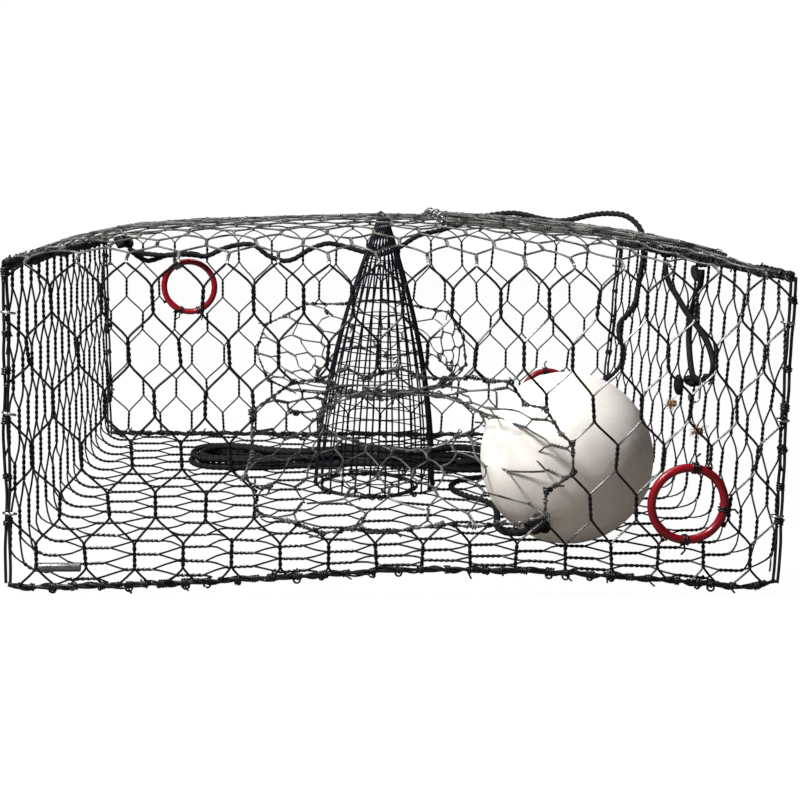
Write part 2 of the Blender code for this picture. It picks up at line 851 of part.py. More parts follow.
def seams():
    """The eight laced edges."""
    x_axis, y_axis, z_axis = Vector((1, 0, 0)), Vector((0, 1, 0)), Vector((0, 0, 1))
    post_top = SEAM_TOP_Z - SEAM_RADIUS - GAP
    for depth, side_y in (("front", -1), ("back", 1)):
        for width, side_x in (("left", -1), ("right", 1)):
            foot = (side_x * SEAM_X, side_y * SEAM_Y, 0.0)
            head = (side_x * SEAM_X, side_y * SEAM_Y, post_top)
            seam(f"{depth}_{width}_seam", foot, head, x_axis, y_axis)
        end = SEAM_X - SEAM_RADIUS - GAP
        left = (-end, side_y * SEAM_Y, SEAM_FLAT)
        right = (end, side_y * SEAM_Y, SEAM_FLAT)
        seam(f"bottom_{depth}_seam", left, right, y_axis, z_axis)
    for width, side_x in (("left", -1), ("right", 1)):
        front = (side_x * SEAM_X, -DEPTH / 2, SEAM_TOP_Z)
        back = (side_x * SEAM_X, DEPTH / 2, SEAM_TOP_Z)
        seam(f"top_{width}_seam", front, back, z_axis, x_axis)


def corner_rings(ends, side_net):
    """The hog rings that close the four upright corners."""
    inward = CORNER_RING_INWARD
    inner = math.hypot(REACH - inward, inward) + CORNER + RING_ROOM
    inner = max(inner, math.hypot(inward, inward) + SEAM_RADIUS + RING_ROOM)
    taken = ends.levels_on(-NET_HALF_X) + ends.levels_on(NET_HALF_X)
    for level in side_net.levels_on(-NET_HALF_Y):
        taken.append(BEND_TOP + level - BEND_LENGTH)
    for depth, side_y in (("front", -1), ("back", 1)):
        heights = CORNER_RING_HEIGHTS if side_y < 0 else CORNER_RING_HEIGHTS[::2]
        for width, side_x in (("left", -1), ("right", 1)):
            for i, height in enumerate(heights):
                z = clear_spot(height, taken, CORNER_RING_SLIDE)
                x = side_x * (SEAM_X - inward)
                y = side_y * (SEAM_Y - inward)
                name = f"hog_ring_{depth}_{width}_{i + 1}"
                torus(name, (x, y, z), (0, 0, 1), inner, RING_WIRE, SILVER, RING_SEGMENTS, RING_SIDES)


def clip_angle(net, outline, place, degrees):
    """The angle round an escape hole, near the wanted one, that is clear of its strands."""
    radius = escape_hole_radius()
    found = net.neighbours()
    taken = []
    for key, n in net.on_outline.items():
        if n == outline and len(found.get(key, ())) > 2:
            way = net.places[key] - Vector(place)
            taken.append(radius * (math.atan2(way.y, way.x) % (2 * math.pi)))
    return clear_spot(radius * math.radians(degrees), taken, CLIP_SLIDE) / radius


def escape_ring(name, side, place, net, outline, clip_degrees):
    """An escape ring in its hole, and the two clips that hold it to the mesh."""
    centre = Vector((place[0], side * SEAM_Y, place[1]))
    inner = ESCAPE_OUTER_DIAMETER / 2 - 2 * ESCAPE_TUBE
    torus(
        f"escape_ring_{name}",
        centre,
        (0, 1, 0),
        inner * math.cos(math.pi / ESCAPE_SEGMENTS),
        ESCAPE_TUBE,
        RED,
        ESCAPE_SEGMENTS,
        ESCAPE_TUBE_SIDES,
    )
    outer = escape_hole_radius() + STRAND
    clear = math.hypot((outer - inner) / 2, STRAND * STRAND_BACK) + RING_ROOM
    for i, degrees in enumerate(clip_degrees):
        angle = clip_angle(net, outline, place, degrees)
        out = Vector((math.cos(angle), 0, math.sin(angle)))
        along = out.cross(Vector((0, 1, 0)))
        middle = centre + out * (inner + outer) / 2
        clip = f"escape_clip_{name}_{i + 1}"
        torus(clip, middle, along, clear, SMALL_RING_WIRE, SILVER, RING_SEGMENTS, RING_SIDES)


def inset(corners, distance):
    """The corners of a convex anticlockwise outline whose sides are moved inwards."""
    found = []
    for i, corner in enumerate(corners):
        back = (corner - corners[i - 1]).normalized()
        on = (corners[(i + 1) % len(corners)] - corner).normalized()
        inward = Vector((-back.y - on.y, back.x + on.x)).normalized()
        found.append(corner + inward * distance / max(inward.dot(Vector((-on.y, on.x))), 0.5))
    return found


def funnel(name, side):
    """A mouth's funnel of mesh, from the end panel inwards: side is -1 or 1."""
    half_u, half_v = mouth_radius()
    mouth = oval((MOUTH_X, MOUTH_Z), half_u, half_v, FUNNEL_SIDES, False).corners
    throat = oval((THROAT_X, THROAT_Z), THROAT_WIDTH / 2, THROAT_HEIGHT / 2, FUNNEL_SIDES, False)
    rim = inset(mouth, STRAND + GAP)
    start = SEAM_Y + STRAND * STRAND_BACK

    def row(station, thickness):
        share = station / FUNNEL_STATIONS
        flare = (1 - share) ** FUNNEL_FLARE
        outline = [t.lerp(r, flare) for t, r in zip(throat.corners, rim)]
        y = side * (start - FUNNEL_LENGTH * share)
        return [Vector((p.x, y, p.y)) for p in inset(outline, thickness)]

    stations = range(FUNNEL_STATIONS + 1)
    outer = [row(s, 0.0) for s in stations]
    inner = [row(s, FUNNEL_WALL) for s in reversed(stations)]
    points, faces = lofted(outer + inner, closed=True)
    return add_mesh(name, points, faces, BLACK_WIRE, smooth_angle=60)


def well_top():
    """The height of the bait well's pinched top, just under the crown."""
    return top_height(WELL_X, 0.0) - STRAND - 2 * GAP


def bait_well():
    """The bait well: round and open at the floor, pinched flat under the crown."""
    low = FLOOR_TOP + GAP
    high = well_top()

    def row(share, thickness):
        z = low + (high - low) * share
        half_x = max(WELL_RADIUS * (1 - share**WELL_TAPER_POWER), WELL_PINCH)
        half_y = math.sqrt(2 * WELL_RADIUS**2 - half_x**2)
        found = []
        for i in range(WELL_SIDES):
            angle = 2 * math.pi * i / WELL_SIDES
            x = WELL_X + (half_x - thickness) * math.cos(angle)
            y = (half_y - thickness) * math.sin(angle)
            found.append(Vector((x, y, z)))
        return found

    shares = [i / (WELL_STATIONS - 1) for i in range(WELL_STATIONS)]
    ceiling = 1 - WELL_WALL / (high - low)
    inner = [row(min(s, ceiling), WELL_WALL) for s in reversed(shares)]
    outer = [row(s, 0.0) for s in shares]
    points, faces = lofted(inner + outer)
    return add_mesh("bait_well", points, faces, BLACK_WIRE, smooth_angle=60)


def foam_float():
    """The foam float: a ball with a bore for the line."""
    across = FLOAT_AXIS.orthogonal().normalized()
    up = FLOAT_AXIS.cross(across)
    edge = math.asin(FLOAT_BORE_RADIUS / FLOAT_RADIUS)
    rows = []
    for i in range(FLOAT_STATIONS):
        angle = edge + (math.pi - 2 * edge) * i / (FLOAT_STATIONS - 1)
        centre = FLOAT_CENTRE - FLOAT_AXIS * FLOAT_RADIUS * math.cos(angle)
        radius = FLOAT_RADIUS * math.sin(angle)
        rows.append(ring_points(centre, across, up, radius, FLOAT_SIDES))
    points, faces = lofted(rows, closed=True)
    return add_mesh("float", points, faces, WHITE_FOAM, origin=FLOAT_CENTRE, smooth_angle=60)


def knot(name, centre, radius, look):
    """A plain round knot."""
    bm = bmesh.new()
    bmesh.ops.create_icosphere(bm, subdivisions=2, radius=radius)
    points = [v.co + centre for v in bm.verts]
    faces = [[v.index for v in face.verts] for face in bm.faces]
    bm.free()
    return add_mesh(name, points, faces, look, origin=centre, smooth_angle=60)


def rope_upper_route():
    """The line from its first knot, along the back, over the top and down to the float."""
    away = Vector((1.0, 0.0, -1.0)).normalized()
    start = start_knot_place() + away * (KNOT_RADIUS + 2 * GAP)
    entry = FLOAT_CENTRE - FLOAT_AXIS * FLOAT_RADIUS
    leave = FLOAT_CENTRE + FLOAT_AXIS * FLOAT_RADIUS
    points = [
        start,
        start + away * 0.012,
        Vector((-0.2640, 0.2755, 0.2120)),
        Vector((-0.2414, 0.2750, 0.2190)),
        Vector((-0.2244, 0.2750, 0.2200)),
        Vector((-0.2103, 0.2750, 0.2195)),
        Vector((-0.1962, 0.2755, 0.2185)),
        Vector((-0.1763, 0.2765, 0.2275)),
        Vector((-0.1574, 0.2775, 0.2325)),
        Vector((-0.1404, 0.2775, 0.2320)),
        Vector((-0.1243, 0.2765, 0.2205)),
        Vector((-0.1072, 0.2755, 0.2145)),
        Vector((-0.0930, 0.2755, 0.2168)),
        Vector((-0.0759, 0.2765, 0.2275)),
        Vector((-0.0569, 0.2775, 0.2350)),
        Vector((-0.0426, 0.2775, 0.2345)),
        Vector((-0.0254, 0.2770, 0.2303)),
        Vector((-0.0081, 0.2765, 0.2258)),
        Vector((0.0110, 0.2755, 0.2238)),
        Vector((0.0320, 0.2730, 0.2330)),
        Vector((0.0528, 0.2660, 0.2470)),
        Vector((0.0750, 0.2530, 0.2540)),
        Vector((0.0990, 0.2340, 0.2630)),
        Vector((0.1230, 0.2120, 0.2730)),
        Vector((0.1486, 0.1935, 0.2780)),
        Vector((0.1660, 0.1865, 0.2770)),
        Vector((0.1839, 0.1820, 0.2730)),
        Vector((0.2024, 0.1765, 0.2710)),
        Vector((0.2180, 0.1680, 0.2735)),
        Vector((0.2340, 0.1560, 0.2785)),
        Vector((0.2500, 0.1400, 0.2815)),
        Vector((0.2660, 0.1210, 0.2800)),
        Vector((0.2770, 0.1060, 0.2700)),
        Vector((0.2810, 0.0970, 0.2560)),
        Vector((0.2790, 0.0860, 0.2370)),
        Vector((0.2733, 0.0780, 0.2069)),
        Vector((0.2689, 0.0660, 0.1943)),
        Vector((0.2605, 0.0550, 0.1827)),
        Vector((0.2480, 0.0440, 0.1723)),
        Vector((0.2455, 0.0330, 0.1592)),
        Vector((0.2475, 0.0200, 0.1475)),
        Vector((0.2407, 0.0000, 0.1345)),
        Vector((0.2252, -0.0300, 0.1275)),
        Vector((0.2103, -0.0580, 0.1270)),
        Vector((0.1990, -0.0880, 0.1320)),
        entry - FLOAT_AXIS * 0.018,
        entry,
        FLOAT_CENTRE.copy(),
        leave,
    ]
    return points


def start_knot_place():
    """The first knot, in the back left corner under the top."""
    wall_face = SEAM_X - STRAND - GAP
    return Vector((-(wall_face - KNOT_RADIUS), SEAM_Y - STRAND - GAP - KNOT_RADIUS, START_KNOT_Z))


def stopper_place():
    """The knot that holds the float, at the bore's lower end."""
    return FLOAT_CENTRE + FLOAT_AXIS * (FLOAT_RADIUS + GAP + KNOT_RADIUS)


def hank_place(place, straight, radius):
    """The place, from the hank's middle, of a point of a loop: 0 to 24 round the loop."""
    runs, turns = HANK_RUN_POINTS, HANK_TURN_POINTS
    if place < runs:
        return straight - 2 * straight * place / runs, -radius
    if place < runs + turns:
        angle = math.pi * (place - runs) / turns
        return -straight - radius * math.sin(angle), -radius * math.cos(angle)
    if place < 2 * runs + turns:
        return 2 * straight * (place - runs - turns) / runs - straight, radius
    angle = math.pi * (place - 2 * runs - turns) / turns
    return straight + radius * math.sin(angle), radius * math.cos(angle)


def hank_line():
    """The hank's loops: they spiral in below, climb along a run and spiral out above."""
    half_wide = HANK_WIDTH / 2 - ROPE_RADIUS
    straight = HANK_LENGTH / 2 - ROPE_RADIUS - half_wide
    loop_points = 2 * (HANK_RUN_POINTS + HANK_TURN_POINTS)
    rise = 2 * ROPE_RADIUS + HANK_LAYER_GAP
    found = []
    for n in range(2 * HANK_LOOPS_A_LAYER * loop_points + 1):
        turn = n / loop_points
        above = max(turn - HANK_LOOPS_A_LAYER, 0.0)
        climb = min(above / HANK_CLIMB, 1.0)
        inset = HANK_STEP * (HANK_LOOPS_A_LAYER - abs(turn - HANK_LOOPS_A_LAYER))
        x, y = hank_place(n % loop_points, straight, half_wide - inset)
        y *= 1 - HANK_WAIST * math.exp(-((x / HANK_WAIST_REACH) ** 2))
        z = ROPE_FLOOR_Z + rise * climb * climb * (3 - 2 * climb)
        found.append(Vector((HANK_CENTRE[0] + x, HANK_CENTRE[1] + y, z)))
    run_in = Vector((2 * ROPE_RADIUS, 0.0, 0.0))
    return [found[0] + run_in, *found, found[-1] - run_in]


def least_gap(route, radius):
    """The least gap between parts of a cord that aren't neighbours along it."""
    fine = evenly(route, radius)
    least = 1.0
    for i, a in enumerate(fine):
        for b in fine[i + LEAST_GAP_SKIP :]:
            least = min(least, (a - b).length)
    return least - 2 * radius


def rope_tail_route():
    """The line from the stopper knot over the floor to the hank."""
    aside = Vector((-0.93, 0.0, -0.37)).normalized()
    start = stopper_place() + aside * (KNOT_RADIUS + 2 * GAP)
    end = hank_line()[0] + Vector((GAP, 0, 0))
    z = ROPE_FLOOR_Z
    return [
        start,
        start + aside * 0.006,
        Vector((0.0935, -0.2420, 0.0290)),
        Vector((0.0905, -0.2200, 0.0260)),
        Vector((0.0930, -0.1900, 0.0200)),
        Vector((0.0965, -0.1600, 0.0145)),
        Vector((0.1010, -0.1320, z + 0.0010)),
        Vector((0.1040, -0.1080, z)),
        Vector((0.1050, -0.0850, z)),
        Vector((0.0990, -0.0640, z)),
        Vector((0.0830, -0.0440, z)),
        Vector((0.0720, -0.0200, z)),
        Vector((0.0740, 0.0060, z)),
        Vector((0.0900, 0.0260, z)),
        Vector((0.1130, 0.0370, z)),
        Vector((0.1280, 0.0500, z)),
        Vector((0.1230, 0.0645, z)),
        end + Vector((0.012, 0, 0)),
        end,
    ]


def trap_line():
    """The line with its knots and its hank."""
    upper = evenly(through(rope_upper_route()), ROPE_POINT_STEP)
    tail = evenly(through(rope_tail_route()), TAIL_POINT_STEP)
    hank = hank_line()
    tube("rope_upper", upper, ROPE_RADIUS, BLACK_ROPE)
    tube("rope_tail", tail, ROPE_RADIUS, BLACK_ROPE)
    tube("rope_hank", hank, ROPE_RADIUS, BLACK_ROPE, resolution=1)
    knot("rope_start_knot", start_knot_place(), KNOT_RADIUS, BLACK_ROPE)
    knot("rope_stopper_knot", stopper_place(), KNOT_RADIUS, BLACK_ROPE)
    whole = length_of(upper) + length_of(tail) + length_of(hank)
    print(f"line: {len(upper)} points above, {whole:.3f} m in all")
    print(f"hank: least gap to itself {1000 * least_gap(hank, ROPE_RADIUS):.2f} mm")


def elastic_knot_place(y):
    """A knot of the elastic loop, tied under the top's right edge."""
    away = ELASTIC_KNOT_RADIUS + STRAND + GAP
    angle = math.radians(ELASTIC_KNOT_ANGLE)
    x = NET_HALF_X - away * math.cos(angle)
    return Vector((x, y, SEAM_TOP_Z - away * math.sin(angle)))


def elastic():
    """The elastic loop that shuts the access door, hanging unhooked inside the right wall."""
    rear = elastic_knot_place(ELASTIC_REAR_Y)
    front = elastic_knot_place(ELASTIC_FRONT_Y)
    drop = Vector((0.0, 0.0, -(ELASTIC_KNOT_RADIUS + GAP)))
    points = [
        rear + drop,
        rear + drop * 2,
        Vector((0.2935, 0.0440, 0.2240)),
        Vector((0.2905, 0.0150, 0.2150)),
        Vector((0.2895, -0.0150, 0.2070)),
        Vector((0.2895, -0.0450, 0.1970)),
        Vector((0.2905, -0.0720, 0.1890)),
        Vector((0.2920, -0.0950, 0.1820)),
        Vector((0.2935, -0.1170, 0.1710)),
        Vector((0.2940, -0.1320, 0.1570)),
        Vector((0.2935, -0.1290, 0.1445)),
        Vector((0.2930, -0.1180, 0.1405)),
        Vector((0.2930, -0.1020, 0.1380)),
        Vector((0.2935, -0.0830, 0.1345)),
        Vector((0.2945, -0.0660, 0.1380)),
        Vector((0.2960, -0.0490, 0.1530)),
        Vector((0.2970, -0.0390, 0.1720)),
        Vector((0.2975, -0.0410, 0.1930)),
        Vector((0.2970, -0.0540, 0.2090)),
        Vector((0.2960, -0.0690, 0.2210)),
        front + drop * 2,
        front + drop,
    ]
    route = evenly(through(points), ELASTIC_POINT_STEP)
    tube("elastic_loop", route, ELASTIC_RADIUS, BLACK_RUBBER)
    knot("elastic_knot_rear", rear, ELASTIC_KNOT_RADIUS, BLACK_RUBBER)
    knot("elastic_knot_front", front, ELASTIC_KNOT_RADIUS, BLACK_RUBBER)
    near = [p for p in through(points) if abs(p.y - HOOK_Y) < HOOK_REACH]
    door_hook(min(near, key=lambda p: p.z))
    print(f"elastic: {length_of(route):.3f} m")


def door_hook(hang):
    """The wire hook on the elastic loop: a curl over the cord, a shank and an open curl."""
    upper = hang + Vector((0, 0, ELASTIC_RADIUS + 2 * GAP + HOOK_WIRE - HOOK_CURL))
    lower = upper + Vector((-2 * HOOK_CURL, 0, -HOOK_SHANK))
    points = []
    for centre, first, turn in ((upper, -60, 30), (lower, 0, -30)):
        for i in range(9 if turn > 0 else 8):
            angle = math.radians(first + turn * i)
            out = Vector((math.cos(angle), 0, math.sin(angle)))
            points.append(centre + out * HOOK_CURL)
    tube("door_hook", points, HOOK_WIRE, SILVER)


def nearest_strand(net, u, v):
    """The place on a strand of a net that is nearest to the wanted one, and the strand's run."""
    wanted = Vector((u, v))
    best = None
    for a, b in net.strands:
        low, high = Vector(net.places[a][:2]), Vector(net.places[b][:2])
        run = high - low
        if run.length < 2 * TIE_CLEARANCE or min(low.y, high.y) < BEND_LENGTH:
            continue
        keep = TIE_CLEARANCE / run.length
        share = min(max((wanted - low).dot(run) / run.length_squared, keep), 1 - keep)
        spot = low + run * share
        far = (spot - wanted).length
        if best is None or far < best[0]:
            best = (far, spot, run.normalized())
    return best[1:]


def jute_ties(net):
    """The jute ties on the right wall, which rot through on a lost trap."""
    for i, (y, z) in enumerate(TIE_PLACES):
        spot, run = nearest_strand(net, y, z + BEND_LENGTH - BEND_TOP)
        centre = (SEAM_X, spot.x, BEND_TOP + spot.y - BEND_LENGTH)
        inner = CORNER + GAP
        name = f"jute_tie_{i + 1}"
        torus(name, centre, (0, run.x, run.y), inner, TIE_CORD, JUTE, RING_SEGMENTS, RING_SIDES)


def zinc_bar():
    """The zinc bar that lies on the floor by the front left corner."""
    x = -(SEAM_X - WALL_BEND_RADIUS)
    y = -(NET_HALF_Y - STRAND - GAP - ZINC_RADIUS)
    z = FLOOR_TOP + GAP + ZINC_RADIUS
    rows = []
    for place in (Vector((x, y, z)), Vector((x + ZINC_LENGTH, y, z))):
        rows.append(ring_points(place, Vector((0, 1, 0)), Vector((0, 0, 1)), ZINC_RADIUS, 14))
    points, faces = lofted(rows)
    add_mesh("zinc_anode", points, faces, ZINC, smooth_angle=50)


def main():
    """Builds the trap."""
    clear_scene()
    front = end_net([FRONT_ESCAPE])
    back = end_net([BACK_LOW_ESCAPE, BACK_HIGH_ESCAPE])
    sides = wall_net()
    top = top_net()
    floor = floor_net()
    door = door_net()
    small_door = bait_door_net()
    end_panel("front_panel", -1, front)
    end_panel("back_panel", 1, back)
    wall("left_wall", -1, sides)
    wall("right_wall", 1, sides)
    top_panel(top)
    floor_panel(floor)
    access_door(door)
    door_rings(top, door)
    bait_door(small_door)
    bait_rings(floor, small_door)
    seams()
    corner_rings(front, sides)
    escape_ring("front", -1, FRONT_ESCAPE, front, 2, (82, 268))
    escape_ring("back_low", 1, BACK_LOW_ESCAPE, back, 2, (95, 200))
    escape_ring("back_high", 1, BACK_HIGH_ESCAPE, back, 3, (85, 290))
    funnel("front_funnel", -1)
    funnel("back_funnel", 1)
    bait_well()
    foam_float()
    trap_line()
    elastic()
    jute_ties(sides)
    zinc_bar()
    nets = (front, back, sides, sides, top, floor, door, small_door)
    print("openings in each net:", [net.gaps() for net in nets])


main()
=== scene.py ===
import logging
import math
from dataclasses import dataclass, field
from enum import Enum
from typing import Callable, Iterable

import bpy
import numpy as np
from mathutils import Matrix, Vector


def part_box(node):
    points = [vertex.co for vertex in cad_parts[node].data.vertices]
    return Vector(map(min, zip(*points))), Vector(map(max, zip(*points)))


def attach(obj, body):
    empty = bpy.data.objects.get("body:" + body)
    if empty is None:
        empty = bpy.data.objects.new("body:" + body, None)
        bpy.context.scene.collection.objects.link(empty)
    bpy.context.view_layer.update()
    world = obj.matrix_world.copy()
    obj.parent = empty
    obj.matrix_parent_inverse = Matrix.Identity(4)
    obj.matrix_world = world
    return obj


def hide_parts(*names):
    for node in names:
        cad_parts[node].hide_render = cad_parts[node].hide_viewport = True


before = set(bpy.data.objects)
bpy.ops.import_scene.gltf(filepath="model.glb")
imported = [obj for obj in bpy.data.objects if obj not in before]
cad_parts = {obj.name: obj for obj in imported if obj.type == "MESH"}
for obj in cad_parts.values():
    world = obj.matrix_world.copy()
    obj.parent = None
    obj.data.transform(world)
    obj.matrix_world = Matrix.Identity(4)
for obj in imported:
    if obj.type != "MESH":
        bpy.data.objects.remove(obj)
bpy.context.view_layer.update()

LOG = logging.getLogger("crab_trap")

Array = np.ndarray
Place = Callable[[Array], Array]

# Bodies of the trap
TRAP = "trap"
ACCESS_DOOR = "access_door"
BAIT_DOOR = "bait_door"
FLOAT = "float"

# The box, to the middle of its laced edges
SEAM_X = 0.3036
FRONT_Y = -0.2886
BACK_Y = 0.2870
SEAM_TOP = 0.2491
FLOOR_Z = 0.00485

# Hexagonal netting of 1 1/2 inch mesh, and how its sheets lie on the box
PITCH = 0.0381
ROW = 0.04039
TWIST = 0.0224
FIRST_ROW = 0.0224
FRONT_FOLD = 0.2525
BACK_FOLD = 0.8497
BACK_SUM = 1.0907
FRONT_ROWS = (0, 5)
TOP_ROWS = (6, 20)
BACK_ROWS = (21, 26)
FOLD_SHIFTS = (-0.010, -0.005, 0.0, 0.005, 0.010)
FOLD_RISE_FROM = 0.215
FOLD_FALL = 0.035
SHEET_SEED = 3
WALL_BEND = 0.022
FLOOR_ROW_START = -0.2465
FLOOR_COLUMN_START = -0.0900

# The front net leans and widens upwards, and the back net lies to the left
LEAN_MIDDLE = 0.133
LEAN_HEIGHT = 0.260
LEAN_SHIFT = 0.0017
LEAN_SPREAD = 0.0022
LEAN_WIDTH = 0.300
BACK_SHIFT = 0.0061

# Wire radii, and how the two wires of a twist turn
WIRE = 0.00086
COIL = 0.00080
FRONT_WIRE = 0.00094
FRONT_COIL = 0.00088
STATIONS = 13
HALF_TURNS = 5
LEAST_TWIST = 0.2
LEAST_SINGLE = 0.12
RUN_MARKS = 17
OUTLINE_STEP = 0.012

# Corners of the two mouths, seen from the front, as places across and up
FRONT_MOUTH = (
    (-0.1223, 0.0864), (-0.1152, 0.0792), (-0.1121, 0.0574), (-0.0878, 0.0510), (-0.0609, 0.0412),
    (-0.0357, 0.0446), (-0.0063, 0.0430), (0.0095, 0.0447), (0.0326, 0.0488), (0.0600, 0.0465),
    (0.0808, 0.0495), (0.0935, 0.0490), (0.1165, 0.0560), (0.1165, 0.0755), (0.1245, 0.0810),
    (0.1378, 0.0905), (0.1362, 0.1150), (0.1265, 0.1225), (0.1135, 0.1430), (0.0970, 0.1460),
    (0.0846, 0.1645), (0.0680, 0.1643), (0.0560, 0.1670), (0.0350, 0.1658), (0.0140, 0.1670),
    (-0.0026, 0.1747), (-0.0280, 0.1658), (-0.0437, 0.1735), (-0.0625, 0.1648), (-0.0845, 0.1621),
    (-0.1161, 0.1390), (-0.1160, 0.1041),
)
BACK_MOUTH = (
    (-0.1382, 0.1031), (-0.1237, 0.0690), (-0.0970, 0.0569), (-0.0545, 0.0524), (0.0004, 0.0529),
    (0.0554, 0.0559), (0.0982, 0.0662), (0.1172, 0.0900), (0.1125, 0.1256), (0.0933, 0.1547),
    (0.0592, 0.1603), (0.0130, 0.1682), (-0.0352, 0.1627), (-0.0784, 0.1621), (-0.1047, 0.1472),
    (-0.1275, 0.1361),
)

# The access door's opening and the door, from left to right and from front to back
DOOR_OPENING = (0.045, 0.2811, -0.150, 0.062)
DOOR_FLAP = (0.045, 0.2911, -0.160, 0.072)
DOOR_LIFT = 0.0030

WELL_X = -0.007
BAIT_HOLE_RADIUS = 0.0500
BAIT_DOOR_APOTHEM = 0.0461

# Middle and radius of the ball, and the way that the line leaves it
FLOAT_CENTRE = (0.1515, -0.1879, 0.08115)
FLOAT_RADIUS = 0.0747
FLOAT_AXIS = (-0.404, -0.743, -0.535)

ROPE_RADIUS = 0.00325
ROPE_FLOOR = 0.0097
ELASTIC_RADIUS = 0.0025
ELASTIC_SWELL = 1.18

# Corners of the leaning box: left or right, front or back, bottom or top
CORNERS = {
    (0, 0, 0): (-0.3064, -0.2886, 0.0000),
    (1, 0, 0): (0.3080, -0.2886, 0.0000),
    (0, 0, 1): (-0.3007, -0.2886, 0.2491),
    (1, 0, 1): (0.3044, -0.2886, 0.2491),
    (0, 1, 0): (-0.3143, 0.2870, 0.0000),
    (1, 1, 0): (0.2872, 0.2870, 0.0010),
    (0, 1, 1): (-0.3158, 0.2870, 0.2350),
    (1, 1, 1): (0.3001, 0.2870, 0.2430),
}


# The dome's height across its ridge, and how it falls to the front and the back
DOME_ACROSS = (
    (-0.3158, 0.0), (-0.300, 0.008), (-0.285, 0.0155), (-0.247, 0.0245), (-0.180, 0.0305),
    (-0.083, 0.0340), (-0.005, 0.0370), (0.063, 0.0362), (0.113, 0.0332), (0.173, 0.0290),
    (0.253, 0.0190), (0.285, 0.0105), (0.306, 0.0),
)
DOME_RIDGE = 0.02
DOME_REACH = 0.31
DOME_FALL = 0.86
DOME_POWERS = (3.6, 1.9)

# The bend of the floor's front edge, and the rise under the bait well
FLOOR_ARCH = (
    (-0.306, -0.0040), (-0.290, -0.0055), (-0.235, -0.0045), (-0.157, -0.0010), (-0.078, 0.0034),
    (0.0015, 0.0092), (0.114, 0.0080), (0.196, 0.0020), (0.290, -0.0062), (0.308, 0.0005),
)
FLOOR_ARCH_REACH = 0.055
WELL_RISE = 0.0055
WELL_RISE_REACH = 0.085

# A direction along no axis, to set rings and coils across
ASKEW = (0.31, 0.83, 0.46)


def deselect() -> None:
    """Leaves nothing selected."""
    for thing in bpy.context.selected_objects:
        thing.select_set(False)


def smoothed(share: Array | float) -> Array | float:
    """A smooth step between 0 and 1."""
    share = np.clip(share, 0.0, 1.0)
    return share * share * (3 - 2 * share)


def boxed(points: Array) -> Array:
    """Moves places in the straight box to the box as it stands, leaning a little.

    Args:
        points: Places in the straight box, one a row.

    Returns:
        The same places in the leaning box.
    """
    x = (points[:, 0] + SEAM_X) / (2 * SEAM_X)
    y = (points[:, 1] - FRONT_Y) / (BACK_Y - FRONT_Y)
    z = points[:, 2] / SEAM_TOP
    found = np.zeros_like(points)
    for (i, j, k), corner in CORNERS.items():
        weight = (x if i else 1 - x) * (y if j else 1 - y) * (z if k else 1 - z)
        found += weight[:, None] * np.array(corner)
    return found


def dome(x: Array, y: Array) -> Array:
    """How far the top bulges above its edges.

    Args:
        x: Places from left to right.
        y: Places from front to back.

    Returns:
        The bulge at each place.
    """
    across = np.interp(x, *np.transpose(DOME_ACROSS))
    share = np.clip(np.abs(y - DOME_RIDGE) / DOME_REACH, 0, 1)
    return across * (1 - DOME_FALL * share ** np.where(y < DOME_RIDGE, *DOME_POWERS))


def top_height(x: Array, y: Array) -> Array:
    """The height of the top's netting at each place."""
    edge = boxed(np.stack([x, y, np.full_like(x, SEAM_TOP)], 1))[:, 2]
    return edge + dome(x, y)


def floor_bow(x: Array, y: Array) -> Array:
    """How far the floor bows up: at the front edge and under the bait well.

    Args:
        x: Places from left to right.
        y: Places from front to back.

    Returns:
        The rise at each place.
    """
    arch = np.interp(x, *np.transpose(FLOOR_ARCH))
    fade = np.exp(-(y - FRONT_Y) / FLOOR_ARCH_REACH)
    well = WELL_RISE * np.exp(-((x - WELL_X) ** 2 + y**2) / (2 * WELL_RISE_REACH**2))
    return arch * fade + well


def through(points: Iterable[Iterable[float]], steps: int = 24) -> Array:
    """A dense smooth curve through a few points.

    Args:
        points: The points to pass through.
        steps: How many pieces each stretch is cut in.

    Returns:
        The curve's points, one a row.
    """
    known = np.array([tuple(p) for p in points], float)
    line = np.vstack([2 * known[0] - known[1], known, 2 * known[-1] - known[-2]])
    t = (np.arange(steps) / steps)[:, None]
    found = []
    for i in range(1, len(line) - 2):
        a, b, c, d = line[i - 1 : i + 3]
        bend = (2 * a - 5 * b + 4 * c - d) * t**2 + (3 * b - a - 3 * c + d) * t**3
        found.append(0.5 * (2 * b + (c - a) * t + bend))
    found.append(known[-1:])
    return np.vstack(found)


def evenly(line: Array, step: float) -> Array:
    """The same line with points about a step apart."""
    along = np.concatenate([[0], np.cumsum(np.linalg.norm(np.diff(line, axis=0), axis=1))])
    marks = np.linspace(0, along[-1], max(2, round(along[-1] / step) + 1))
    return np.stack([np.interp(marks, along, line[:, i]) for i in range(3)], 1)


def length_of(line: Array) -> float:
    """The length of a line of points."""
    return float(np.linalg.norm(np.diff(line, axis=0), axis=1).sum())


def unit(vectors: Array) -> Array:
    """The same vectors with length 1."""
    return vectors / np.maximum(np.linalg.norm(vectors, axis=-1, keepdims=True), 1e-12)


